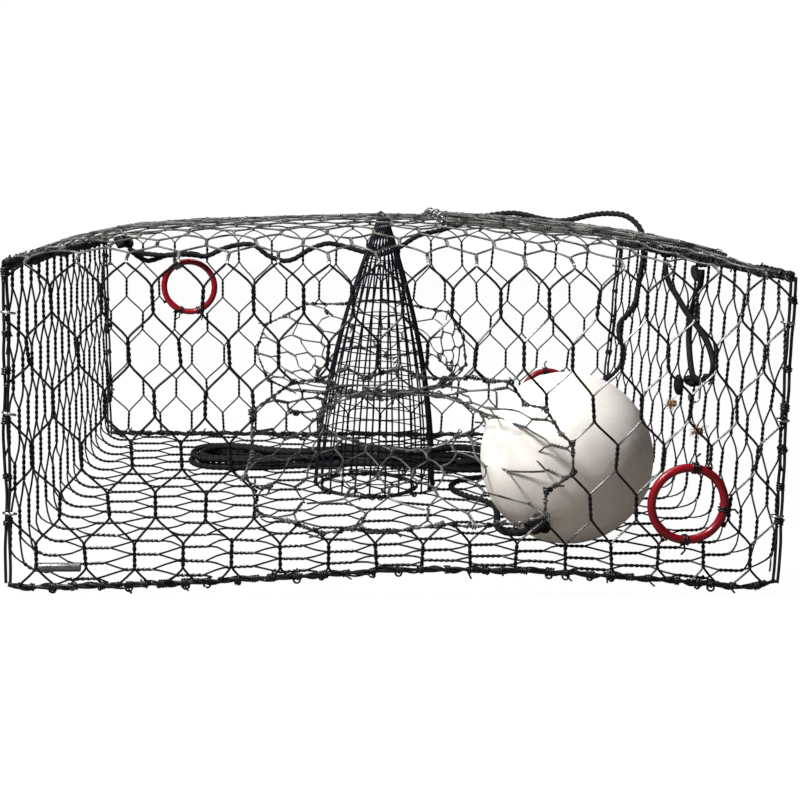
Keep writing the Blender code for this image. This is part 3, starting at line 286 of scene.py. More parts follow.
class Spinner:
    """Gathers round wires, each with its rings of points, into one mesh."""

    def __init__(self, sides: int = 4) -> None:
        """Starts with no wire.

        Args:
            sides: How many sides a wire has, an even number.
        """
        self.sides = sides
        self.points: list[Array] = []
        self.quads: list[Array] = []
        self.count = 0

    @staticmethod
    def carried(ahead: Array) -> Array:
        """A direction across each point of a line, carried along without turning round it.

        Args:
            ahead: The way that the line runs at each point.

        Returns:
            A direction across it at each point.
        """
        start = np.array((0.0, 0.0, 1.0)) if abs(ahead[0][2]) < 0.9 else np.array((1.0, 0.0, 0.0))
        across = np.empty_like(ahead)
        across[0] = unit(start - ahead[0] * start.dot(ahead[0]))
        for i in range(1, len(ahead)):
            kept = across[i - 1] - ahead[i] * across[i - 1].dot(ahead[i])
            across[i] = kept / max(math.sqrt(kept.dot(kept)), 1e-9)
        return across

    def wire(
        self,
        line: Array,
        radius: float | Array,
        guide: Array | None = None,
        closed: bool = False,
        profile: Array | None = None,
        turn: Array | float = 0.0,
    ) -> None:
        """Adds a wire along a line.

        Args:
            line: Its middle points.
            radius: Its radius, or one for each point.
            guide: A direction that the line never runs in, to steer its rings.
            closed: Whether its ends meet.
            profile: Each side's share of the radius, for a section that isn't round.
            turn: How far each ring is turned.
        """
        if closed:
            ahead = np.roll(line, -1, 0) - np.roll(line, 1, 0)
        else:
            ahead = np.vstack([line[1] - line[0], line[2:] - line[:-2], line[-1] - line[-2]])
        ahead = unit(ahead)
        if guide is None:
            across = self.carried(ahead)
        else:
            guide = np.broadcast_to(guide, ahead.shape)
            across = unit(guide - ahead * (guide * ahead).sum(1)[:, None])
        up = np.cross(ahead, across)
        count, sides = len(line), self.sides
        turned = np.broadcast_to(turn, (count,))[:, None]
        angle = 2 * math.pi * np.arange(sides)[None] / sides + turned
        reach = np.broadcast_to(radius, (count,))[:, None] * np.ones((1, sides))
        if profile is not None:
            reach = reach * profile[None]
        rings = line[:, None] + (reach * np.cos(angle))[..., None] * across[:, None]
        rings = rings + (reach * np.sin(angle))[..., None] * up[:, None]
        index = self.count + np.arange(count * sides).reshape(count, sides)
        here = index if closed else index[:-1]
        after = np.roll(index, -1, 0) if closed else index[1:]
        faces = np.stack([here, np.roll(here, -1, 1), np.roll(after, -1, 1), after], -1)
        self.points.append(rings.reshape(-1, 3))
        self.quads.append(faces.reshape(-1, 4))
        if not closed:
            first, last = index[0], index[-1]
            for k in range(1, sides - 1, 2):
                cap = [
                    (first[0], first[(k + 2) % sides], first[k + 1], first[k]),
                    (last[0], last[k], last[k + 1], last[(k + 2) % sides]),
                ]
                self.quads.append(np.array(cap))
        self.count += count * sides

    @staticmethod
    def square(axis: Array) -> tuple[Array, Array, Array]:
        """An axis with length 1 and two directions across it."""
        axis = unit(np.asarray(axis, float))
        across = unit(np.cross(axis, ASKEW))
        return axis, across, np.cross(axis, across)

    def ring(self, centre: Array, axis: Array, radius: float, wire: float, steps: int = 16,
             opening: float = 0.0, start: float = 0.0) -> None:
        """Adds a wire ring, or with an opening in degrees a bent staple.

        Args:
            centre: Its middle.
            axis: The way that it faces.
            radius: Its radius.
            wire: Its wire's radius.
            steps: How many points it has.
            opening: How many degrees of it are left open.
            start: The degree at which it starts.
        """
        axis, across, up = self.square(axis)
        span = 2 * math.pi - math.radians(opening)
        closed = opening <= 0
        angle = math.radians(start) + span * np.arange(steps) / (steps if closed else steps - 1)
        line = np.asarray(centre) + radius * (
            np.cos(angle)[:, None] * across + np.sin(angle)[:, None] * up
        )
        self.wire(line, wire, guide=axis, closed=closed)

    def coil(self, centre: Array, axis: Array, radius: float, wire: float, turns: float,
             pitch: float, start: float = 0.0) -> None:
        """Adds a short coil round an axis.

        Args:
            centre: Its middle.
            axis: The way that it runs.
            radius: Its radius.
            wire: Its wire's radius.
            turns: How many turns it has.
            pitch: How far it runs in a turn.
            start: The angle at which it starts.
        """
        axis, across, up = self.square(axis)
        count = max(4, round(7 * turns))
        t = np.linspace(0, turns, count)
        angle = start + 2 * math.pi * t
        line = np.asarray(centre) + (t - turns / 2)[:, None] * pitch * axis
        line = line + radius * (np.cos(angle)[:, None] * across + np.sin(angle)[:, None] * up)
        self.wire(line, wire, guide=axis + 0.001)

    def made(self, name: str, smooth: float = 60.0) -> bpy.types.Object:
        """Makes the object.

        Args:
            name: Its name.
            smooth: The angle in degrees over which an edge stays sharp.

        Returns:
            The object, at the origin.
        """
        mesh = bpy.data.meshes.new(name)
        mesh.from_pydata(np.vstack(self.points).tolist(), [], np.vstack(self.quads).tolist())
        mesh.update()
        thing = bpy.data.objects.new(name, mesh)
        bpy.context.scene.collection.objects.link(thing)
        mesh.shade_smooth()
        mesh.set_sharp_from_angle(angle=math.radians(smooth))
        return thing


class Outline:
    """A closed line on a net, on which the net ends."""

    def __init__(self, corners: Array, inside: bool) -> None:
        """Takes the corners anticlockwise, and whether the net lies inside."""
        self.corners = np.asarray(corners, float)
        self.inside = inside
        self.sides = np.roll(self.corners, -1, 0) - self.corners

    def keeps(self, places: Array) -> Array:
        """Whether the net goes on at each place."""
        x, y = places[:, 0][:, None], places[:, 1][:, None]
        a, b = self.corners, self.corners + self.sides
        crosses = (a[:, 1] > y) != (b[:, 1] > y)
        run = np.where(self.sides[:, 1] == 0, 1e-12, self.sides[:, 1])
        hit = x < a[:, 0] + (y - a[:, 1]) / run * self.sides[:, 0]
        inside = (crosses & hit).sum(1) % 2 == 1
        return inside == self.inside

    def nearest(self, place: Array) -> tuple[Array, Array]:
        """The nearest place on the outline and the way that it runs there.

        Args:
            place: A place on the net.

        Returns:
            The spot on the outline, and its direction there.
        """
        way = place - self.corners
        share = np.clip((way * self.sides).sum(1) / (self.sides**2).sum(1), 0, 1)
        spots = self.corners + share[:, None] * self.sides
        best = int(((spots - place) ** 2).sum(1).argmin())
        return spots[best], unit(self.sides[best])


def oval(centre: tuple[float, float], half_u: float, half_v: float, steps: int = 48) -> Array:
    """Points round an oval, anticlockwise."""
    angle = 2 * math.pi * np.arange(steps) / steps
    return np.stack([centre[0] + half_u * np.cos(angle), centre[1] + half_v * np.sin(angle)], 1)


@dataclass
class HexNet:
    """A sheet of twisted hexagonal netting, cut to outlines and bent to a shape.

    Attributes:
        place: Puts places of the flat sheet where they belong.
        outlines: The lines on which the net ends.
        pitch: The width of a mesh.
        row: From one row of twists to the next.
        twist: The length of a twist.
        start_u: Where the middle column stands.
        first_v: Where row 0 stands.
        rows: The first and the last row of twists.
        columns: The first and the last half column.
        parity: Whether the rows are set over by half a mesh.
        seed: The seed of its random draws.
        slack: How far a twist strays.
        wire: The wire's radius.
        coil: The radius of a twist's middle line.
        wraps: Whether cut ends are wound round the border.
        joins: The first and the last row from which single wires go up.
        ends: The cut ends found so far.
    """

    place: Place
    outlines: list[Outline]
    pitch: float = PITCH
    row: float = ROW
    twist: float = TWIST
    start_u: float = 0.0
    first_v: float = 0.0
    rows: tuple[int, int] = (0, 5)
    columns: tuple[int, int] = (-17, 17)
    parity: int = 0
    seed: int = 1
    slack: float = 0.0005
    wire: float = WIRE
    coil: float = COIL
    wraps: bool = True
    joins: tuple[int, int] | None = None
    ends: list[tuple[Array, Array]] = field(default_factory=list)

    def runs(self, line: Array) -> list[tuple[float, float]]:
        """The stretches of a straight strand that the outlines keep.

        Args:
            line: Both ends of the strand.

        Returns:
            Where each stretch starts and ends, as shares of the strand.
        """
        a, b = line
        shares = np.linspace(0, 1, RUN_MARKS)
        places = a + (b - a) * shares[:, None]
        kept = np.ones(RUN_MARKS, bool)
        for outline in self.outlines:
            kept &= outline.keeps(places)
        found = []
        begin = None
        for i in range(RUN_MARKS + 1):
            on = i < RUN_MARKS and kept[i]
            if on and begin is None:
                begin = i
            if not on and begin is not None:
                low, high = shares[begin], shares[i - 1]
                if begin:
                    low = (shares[begin] + shares[begin - 1]) / 2
                if i < RUN_MARKS:
                    high = (shares[i - 1] + shares[i]) / 2
                found.append((low, high))
                begin = None
        return found

    def guide(self, u: float, v: float) -> Array:
        """The way that the sheet faces at a place."""
        pair = self.place(np.array([(u, v, 0.0), (u, v, 0.001)]))
        return unit(pair[1] - pair[0])

    def note_end(self, place: Array, share: float) -> None:
        """Keeps a cut end, to be wrapped round the border."""
        if 0.0 < share < 1.0 and self.wraps:
            best = None
            for outline in self.outlines:
                spot, way = outline.nearest(place)
                far = np.linalg.norm(spot - place)
                if best is None or far < best[0]:
                    best = (far, spot, way)
            self.ends.append((best[1], best[2]))

    def weave(self, spinner: Spinner) -> None:
        """Adds every twist and every single wire to a mesh."""
        low, high = self.rows
        middles = {}
        for j in range(low - 1, high + 2):
            for h in range(self.columns[0], self.columns[1] + 1):
                if (h + j + self.parity) % 2 == 0:
                    rng = np.random.default_rng((self.seed, j + 50, h + 50))
                    jog = rng.normal(0, self.slack, 2)
                    lean = rng.normal(0, self.slack)
                    middles[(h, j)] = (self.start_u + h * self.pitch / 2 + jog[0],
                                       self.first_v + j * self.row + jog[1], lean,
                                       rng.normal(0, 0.35), rng.normal(0, 1.0))
        for (h, j), (u, v, lean, phase, sag) in middles.items():
            if low <= j <= high:
                self.twisted(spinner, u, v, lean, phase)
            first, last = self.joins or (low - 1, high)
            if first <= j <= last:
                for side in (-1, 1):
                    other = middles.get((h + side, j + 1))
                    if other is not None:
                        self.single(spinner, (u, v, lean), other[:3], side, sag)
        rng = np.random.default_rng(self.seed)
        for spot, way in self.ends:
            self.wrap(spinner, spot, way, rng)

    def twisted(self, spinner: Spinner, u: float, v: float, lean: float, phase: float) -> None:
        """Adds the two wires of a twist.

        Args:
            spinner: Gathers the wires.
            u: Its middle across the sheet.
            v: Its middle along the sheet.
            lean: How far its top leans over.
            phase: How unevenly it is turned.
        """
        ends = np.array([(u - lean, v - self.twist / 2), (u + lean, v + self.twist / 2)])
        for low, high in self.runs(ends):
            if high - low < LEAST_TWIST:
                continue
            count = max(4, round(STATIONS * (high - low)))
            t = np.linspace(low, high, count)
            middle = ends[0] + (ends[1] - ends[0]) * t[:, None]
            turn = math.pi * HALF_TURNS * t + phase * np.sin(math.pi * t)
            for start in (0.0, math.pi):
                line = np.stack([
                    middle[:, 0] + self.coil * np.cos(turn + start),
                    middle[:, 1],
                    self.coil * np.sin(turn + start),
                ], 1)
                spinner.wire(self.place(line), self.wire, guide=self.guide(u, v))
            self.note_end(middle[0], low)
            self.note_end(middle[-1], high)

    def single(self, spinner: Spinner, lower: tuple, upper: tuple, side: int, sag: float) -> None:
        """Adds a single wire between two twists.

        Args:
            spinner: Gathers the wires.
            lower: Place and lean of the twist that it leaves.
            upper: Place and lean of the twist that it joins.
            side: -1 where it goes left and 1 where it goes right.
            sag: How far it hangs out of the sheet, in shares of the slack.
        """
        a = np.array((lower[0] + lower[2] + side * self.coil, lower[1] + self.twist / 2))
        b = np.array((upper[0] - upper[2] - side * self.coil, upper[1] - self.twist / 2))
        for low, high in self.runs(np.array([a, b])):
            if high - low < LEAST_SINGLE:
                continue
            base = np.array((0.0, 0.06, 0.2, 0.5, 0.8, 0.94, 1.0))
            t = low + (high - low) * base
            ease = t - 0.022 * np.sin(2 * math.pi * t)
            line = np.stack([
                a[0] + (b[0] - a[0]) * ease,
                a[1] + (b[1] - a[1]) * t,
                self.slack * sag * np.sin(math.pi * t),
            ], 1)
            middle = line[3]
            spinner.wire(self.place(line), self.wire, guide=self.guide(middle[0], middle[1]))
            self.note_end(line[0, :2], low)
            self.note_end(line[-1, :2], high)

    def wrap(self, spinner: Spinner, spot: Array, way: Array, rng: np.random.Generator) -> None:
        """Winds a cut end round the border wire."""
        pair = self.place(np.array([(*spot, 0.0), (*(spot + way * 0.002), 0.0)]))
        turns = rng.uniform(1.4, 2.6)
        spinner.coil(pair[0], pair[1] - pair[0], 0.0018, self.wire * 0.95, turns, 0.0017,
                     rng.uniform(0, 6))

    def border(self, spinner: Spinner, outline: Outline, radius: float = 0.0010) -> None:
        """Adds the wire on which a hole's cut ends are wound.

        Args:
            spinner: Gathers the wires.
            outline: The hole's edge.
            radius: The wire's radius.
        """
        flat = np.column_stack([outline.corners, np.zeros(len(outline.corners))])
        line = self.place(flat)
        spinner.wire(line, radius, guide=self.guide(*outline.corners.mean(0)), closed=True)


class Finish(Enum):
    """The record's slot for each kind of surface."""

    WIRE = "wire"
    # Black wire whose light grey patches are painted glints
    FUNNEL = "funnel_wire"
    # Black wire whose light grey patches are painted sheen
    WORN = "sheen_painted_wire"
    SELVAGE = "selvage"
    FINE_MESH = "mesh_shell"
    BRIGHT_RING = "ring"
    RED_PLASTIC = "escape"
    FOAM = "foam"
    ROPE = "rope"
    ELASTIC = "elastic"
    ZINC = "zinc"
    JUTE = "jute"


@dataclass(frozen=True)
class Coat:
    """What a surface looks like.

    Attributes:
        light: The lighter of its two tones.
        dark: The darker one.
        grain: The scale of the coarse noise that mixes them: a stain on most finishes, painted
            sheen on the funnel, top and door wires.
        rough_low: Its roughness where it is dark.
        rough_high: Its roughness where it is light.
        metallic: How metallic it is.
        bump: The strength of its bump.
        bump_size: The scale of its bump.
        coat: The weight of a clear coat.
        beads: Whether it shows foam beads.
        shine: Its specular level.
    """

    light: tuple[float, float, float]
    dark: tuple[float, float, float]
    grain: float
    rough_low: float
    rough_high: float
    metallic: float = 0.0
    bump: float = 0.0
    bump_size: float = 900.0
    coat: float = 0.0
    beads: bool = False
    shine: float = 0.5


NET_BUMP = 0.25

COATS = {
    Finish.WIRE: Coat((0.012, 0.010, 0.013), (0.003, 0.0026, 0.004), 150, 0.20, 0.34,
                      bump=NET_BUMP, shine=0.24),
    # Funnel wire: the light grey tone is painted glints on the black coat
    Finish.FUNNEL: Coat((0.13, 0.13, 0.125), (0.008, 0.008, 0.009), 75, 0.24, 0.40,
                        bump=NET_BUMP, shine=0.30),
    # Top and door wire: the light grey tone is painted sheen, lamp glints painted onto the black
    # coat
    Finish.WORN: Coat((0.15, 0.15, 0.145), (0.006, 0.006, 0.007), 85, 0.20, 0.34,
                      bump=NET_BUMP, shine=0.60),
    Finish.SELVAGE: Coat((0.016, 0.014, 0.018), (0.0035, 0.003, 0.004), 120, 0.26, 0.46,
                         bump=0.3, shine=0.20),
    Finish.FINE_MESH: Coat((0.010, 0.008, 0.016), (0.0035, 0.003, 0.005), 90, 0.35, 0.55,
                           bump=0.2, shine=0.16),
    Finish.BRIGHT_RING: Coat((0.62, 0.62, 0.63), (0.34, 0.34, 0.35), 160, 0.22, 0.38, 1.0),
    Finish.RED_PLASTIC: Coat((0.24, 0.003, 0.009), (0.15, 0.002, 0.007), 14, 0.22, 0.34,
                             coat=0.05, shine=0.3),
    Finish.FOAM: Coat((0.80, 0.77, 0.73), (0.70, 0.66, 0.61), 22, 0.70, 0.9,
                      bump=0.35, bump_size=230.0, beads=True),
    Finish.ROPE: Coat((0.016, 0.015, 0.015), (0.004, 0.004, 0.004), 260, 0.6, 0.85,
                      bump=0.8, bump_size=1600.0, shine=0.12),
    Finish.ELASTIC: Coat((0.010, 0.009, 0.013), (0.004, 0.004, 0.005), 420, 0.5, 0.7,
                         bump=0.8, bump_size=1400.0, shine=0.12),
    Finish.ZINC: Coat((0.32, 0.32, 0.33), (0.14, 0.14, 0.15), 45, 0.35, 0.6, 0.9, bump=0.3),
    Finish.JUTE: Coat((0.42, 0.29, 0.17), (0.18, 0.11, 0.05), 340, 0.8, 0.95,
                      bump=0.9, bump_size=1500.0, shine=0.2),
}

BEAD_LINE = (0.73, 0.69, 0.64, 1)
BEAD_LINE_WIDTH = 0.045
# Where the coarse noise turns from the dark tone to the light one: a stain, and on the funnel, top
# and door wires painted sheen
STAIN_AND_SHEEN = (0.34, 0.66)
BUMP_DEPTH = 0.0004


def join(tree: bpy.types.NodeTree, *links: tuple) -> None:
    """Links nodes of a tree.

    Args:
        tree: The node tree.
        links: The node and socket that each link leaves, and those that it enters.
    """
    for source, output, target, socket in links:
        tree.links.new(source.outputs[output], target.inputs[socket])


def fill(node: bpy.types.Node, values: dict) -> None:
    """Sets the values of a node's inputs, each by its socket's name or number."""
    for socket, value in values.items():
        node.inputs[socket].default_value = value


class Painter:
    """Makes the materials from two shared node groups."""

    def __init__(self) -> None:
        """Builds both groups."""
        self.tone = self.tone_group()
        self.beads = self.bead_group()
        self.made: dict[Finish, bpy.types.Material] = {}

    @staticmethod
    def group(name: str, inputs: Iterable[tuple[str, str]],
              outputs: Iterable[tuple[str, str]]) -> bpy.types.ShaderNodeTree:
        """An empty node group with its sockets.

        Args:
            name: Its name.
            inputs: Name and kind of each input.
            outputs: Name and kind of each output.

        Returns:
            The node group.
        """
        group = bpy.data.node_groups.new(name, "ShaderNodeTree")
        for way, sockets in (("INPUT", inputs), ("OUTPUT", outputs)):
            for socket, kind in sockets:
                group.interface.new_socket(name=socket, in_out=way,
                                           socket_type="NodeSocket" + kind)
        return group

    @staticmethod
    def tone_group() -> bpy.types.ShaderNodeTree:
        """Uneven tone over a surface: a coarse stain with a fine speckle in it. On the funnel, top
        and door wires the lighter tone is painted sheen.
        """
        group = Painter.group(
            "uneven_tone",
            (("Light", "Color"), ("Dark", "Color"), ("Grain", "Float"), ("Rough Low", "Float"),
             ("Rough High", "Float"), ("Bump Size", "Float")),
            (("Colour", "Color"), ("Roughness", "Float"), ("Height", "Float")),
        )
        nodes = group.nodes
        start = nodes.new("NodeGroupInput")
        end = nodes.new("NodeGroupOutput")
        place = nodes.new("ShaderNodeTexCoord")
        coarse = nodes.new("ShaderNodeTexNoise")
        coarse.inputs["Detail"].default_value = 4.0
        coarse.inputs["Roughness"].default_value = 0.62
        fine = nodes.new("ShaderNodeTexNoise")
        fine.inputs["Detail"].default_value = 3.0
        tone = nodes.new("ShaderNodeMapRange")
        tone.inputs["From Min"].default_value, tone.inputs["From Max"].default_value = STAIN_AND_SHEEN
        mix = nodes.new("ShaderNodeMix")
        mix.data_type = "RGBA"
        rough = nodes.new("ShaderNodeMapRange")
        join(
            group,
            (place, "Object", coarse, "Vector"), (place, "Object", fine, "Vector"),
            (start, "Grain", coarse, "Scale"), (start, "Bump Size", fine, "Scale"),
            (coarse, "Fac", tone, "Value"), (tone, "Result", mix, "Factor"),
            (start, "Dark", mix, "A"), (start, "Light", mix, "B"),
            (tone, "Result", rough, "Value"), (start, "Rough Low", rough, "To Min"),
            (start, "Rough High", rough, "To Max"), (mix, "Result", end, "Colour"),
            (rough, "Result", end, "Roughness"), (fine, "Fac", end, "Height"),
        )
        return group

    @staticmethod
    def bead_group() -> bpy.types.ShaderNodeTree:
        """Expanded beads: the dark lines between them and the height of each."""
        group = Painter.group("foam_beads", (("Size", "Float"),),
                              (("Lines", "Float"), ("Height", "Float")))
        nodes = group.nodes
        start = nodes.new("NodeGroupInput")
        end = nodes.new("NodeGroupOutput")
        place = nodes.new("ShaderNodeTexCoord")
        cells = nodes.new("ShaderNodeTexVoronoi")
        cells.feature = "DISTANCE_TO_EDGE"
        lines = nodes.new("ShaderNodeMapRange")
        lines.inputs["From Min"].default_value = 0.0
        lines.inputs["From Max"].default_value = BEAD_LINE_WIDTH
        join(
            group,
            (place, "Object", cells, "Vector"), (start, "Size", cells, "Scale"),
            (cells, "Distance", lines, "Value"), (lines, "Result", end, "Lines"),
            (lines, "Result", end, "Height"),
        )
        return group

    def material(self, finish: Finish) -> bpy.types.Material:
        """The material of a finish, made once."""
        if finish in self.made:
            return self.made[finish]
        coat = COATS[finish]
        material = bpy.data.materials.new(finish.value + "_finish")
        material.use_nodes = True
        tree = material.node_tree
        nodes, links = tree.nodes, tree.links
        shader = nodes["Principled BSDF"]
        fill(shader, {"Metallic": coat.metallic, "Coat Weight": coat.coat,
                      "Specular IOR Level": coat.shine, "Coat Roughness": 0.08})
        tone = nodes.new("ShaderNodeGroup")
        tone.node_tree = self.tone
        fill(tone, {"Light": (*coat.light, 1), "Dark": (*coat.dark, 1), "Grain": coat.grain,
                    "Rough Low": coat.rough_low, "Rough High": coat.rough_high,
                    "Bump Size": coat.bump_size})
        join(tree, (tone, "Roughness", shader, "Roughness"))
        colour, height = tone.outputs["Colour"], tone.outputs["Height"]
        if coat.beads:
            beads = nodes.new("ShaderNodeGroup")
            beads.node_tree = self.beads
            beads.inputs["Size"].default_value = coat.bump_size
            shade = nodes.new("ShaderNodeMix")
            shade.data_type = "RGBA"
            shade.inputs["A"].default_value = BEAD_LINE
            join(tree, (beads, "Lines", shade, "Factor"), (tone, "Colour", shade, "B"))
            colour, height = shade.outputs["Result"], beads.outputs["Height"]
        links.new(colour, shader.inputs["Base Color"])
        if coat.bump:
            bump = nodes.new("ShaderNodeBump")
            fill(bump, {"Strength": coat.bump, "Distance": BUMP_DEPTH})
            links.new(height, bump.inputs["Height"])
            join(tree, (bump, "Normal", shader, "Normal"))
        self.made[finish] = material
        return material

    def dress(self, thing: bpy.types.Object, finish: Finish, body: str, *nodes: str) -> None:
        """Gives a piece its material and its body, and hides the CAD nodes that it takes the place
        of.

        Args:
            thing: The piece.
            finish: Its surface.
            body: The body that it rides on.
            nodes: The CAD nodes that it takes the place of.
        """
        thing.data.materials.clear()
        thing.data.materials.append(self.material(finish))
        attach(thing, body)
        if nodes:
            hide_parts(*nodes)
        LOG.info("%s: %d faces", thing.name, len(getattr(thing.data, "polygons", ())))


def hang(painter: Painter, net: HexNet, name: str, finish: Finish, body: str, node: str,
         border: tuple[Outline, float] | None = None) -> None:
    """Weaves a net, with its border wire if it has one, and dresses it.

    Args:
        painter: Dresses it.
        net: The net.
        name: The piece's name.
        finish: Its surface.
        body: The body that it rides on.
        node: The CAD node that it takes the place of.
        border: The border wire's line and radius.
    """
    spinner = Spinner(4)
    net.weave(spinner)
    if border:
        net.border(spinner, *border)
    painter.dress(spinner.made(name), finish, body, node)


@dataclass
class Studio:
    """The camera, the lamps, the floor and the backdrop."""

    lens: float = 59.34
    camera_place: tuple[float, float, float] = (-0.0688, -1.2986, 0.3292)
    camera_turns: tuple[tuple[float, str], ...] = ((-3.82, "Z"), (90 - 10.11, "X"), (1.18, "Z"))
    lamps: tuple[tuple, ...] = (
        ("key", (-0.90, -0.62, 1.40), 0.34, 64.0),
        ("fill", (-1.2, -1.8, 0.7), 1.2, 1.6),
        ("top", (-0.1, 0.45, 1.9), 0.40, 9.0),
    )
    aim: tuple[float, float, float] = (0, 0, 0.12)
    sky: tuple[float, ...] = (1.0, 0.985, 0.965, 1)
    sky_strength: float = 0.10
    floor_z: float = -0.0110
    floor_size: float = 6.0
    floor_colour: tuple[float, ...] = (0.22, 0.20, 0.18, 1)
    floor_glow: float = 1.07
    floor_glow_share: float = 0.91
    white: tuple[float, ...] = (1, 1, 1, 1)

    def build(self) -> None:
        """Sets up everything that isn't part of the trap."""
        scene = bpy.context.scene
        scene.view_settings.view_transform = "Standard"
        lens = bpy.data.cameras.new("camera")
        lens.lens = self.lens
        lens.sensor_width = 36.0
        camera = bpy.data.objects.new("camera", lens)
        turn, tilt, roll = (Matrix.Rotation(math.radians(degrees), 4, axis)
                            for degrees, axis in self.camera_turns)
        camera.matrix_world = Matrix.Translation(self.camera_place) @ turn @ tilt @ roll
        scene.collection.objects.link(camera)
        scene.camera = camera
        for lamp in self.lamps:
            self.lamp(*lamp)
        self.world()
        self.floor()

    def lamp(self, name: str, place: tuple[float, float, float], size: float, power: float) -> None:
        """A square soft lamp that looks at the trap.

        Args:
            name: Its name.
            place: Where it stands.
            size: The length of its side.
            power: Its power in watts.
        """
        light = bpy.data.lights.new(name, "AREA")
        light.size = size
        light.energy = power
        thing = bpy.data.objects.new(name, light)
        way = (Vector(self.aim) - Vector(place)).to_track_quat("-Z", "Y")
        thing.matrix_world = Matrix.Translation(place) @ way.to_matrix().to_4x4()
        bpy.context.scene.collection.objects.link(thing)

    def world(self) -> None:
        """A pale even sky that looks white to the camera."""
        world = bpy.data.worlds.new("studio")
        bpy.context.scene.world = world
        world.use_nodes = True
        nodes = world.node_tree.nodes
        back = nodes["Background"]
        seen = nodes.new("ShaderNodeBackground")
        fill(seen, {"Color": self.white, "Strength": 1.0})
        fill(back, {"Color": self.sky, "Strength": self.sky_strength})
        path = nodes.new("ShaderNodeLightPath")
        mix = nodes.new("ShaderNodeMixShader")
        join(world.node_tree, (path, "Is Camera Ray", mix, "Fac"), (back, 0, mix, 1),
             (seen, 0, mix, 2), (mix, 0, nodes["World Output"], "Surface"))

    def floor(self) -> None:
        """A pale floor that keeps a faint shadow."""
        deselect()
        bpy.ops.mesh.primitive_plane_add(size=self.floor_size, location=(0, 0, self.floor_z))
        plane = bpy.context.active_object
        plane.name = "studio_floor"
        material = bpy.data.materials.new("studio_floor")
        material.use_nodes = True
        nodes = material.node_tree.nodes
        shader = nodes["Principled BSDF"]
        fill(shader, {"Base Color": self.floor_colour, "Roughness": 0.9})
        glow = nodes.new("ShaderNodeEmission")
        fill(glow, {"Color": self.white, "Strength": self.floor_glow})
        path = nodes.new("ShaderNodeLightPath")
        share = nodes.new("ShaderNodeMath")
        share.operation = "MULTIPLY"
        share.inputs[1].default_value = self.floor_glow_share
        mix = nodes.new("ShaderNodeMixShader")
        join(material.node_tree, (path, "Is Camera Ray", share, 0), (share, 0, mix, "Fac"),
             (shader, 0, mix, 1), (glow, 0, mix, 2),
             (mix, 0, nodes["Material Output"], "Surface"))
        plane.data.materials.append(material)


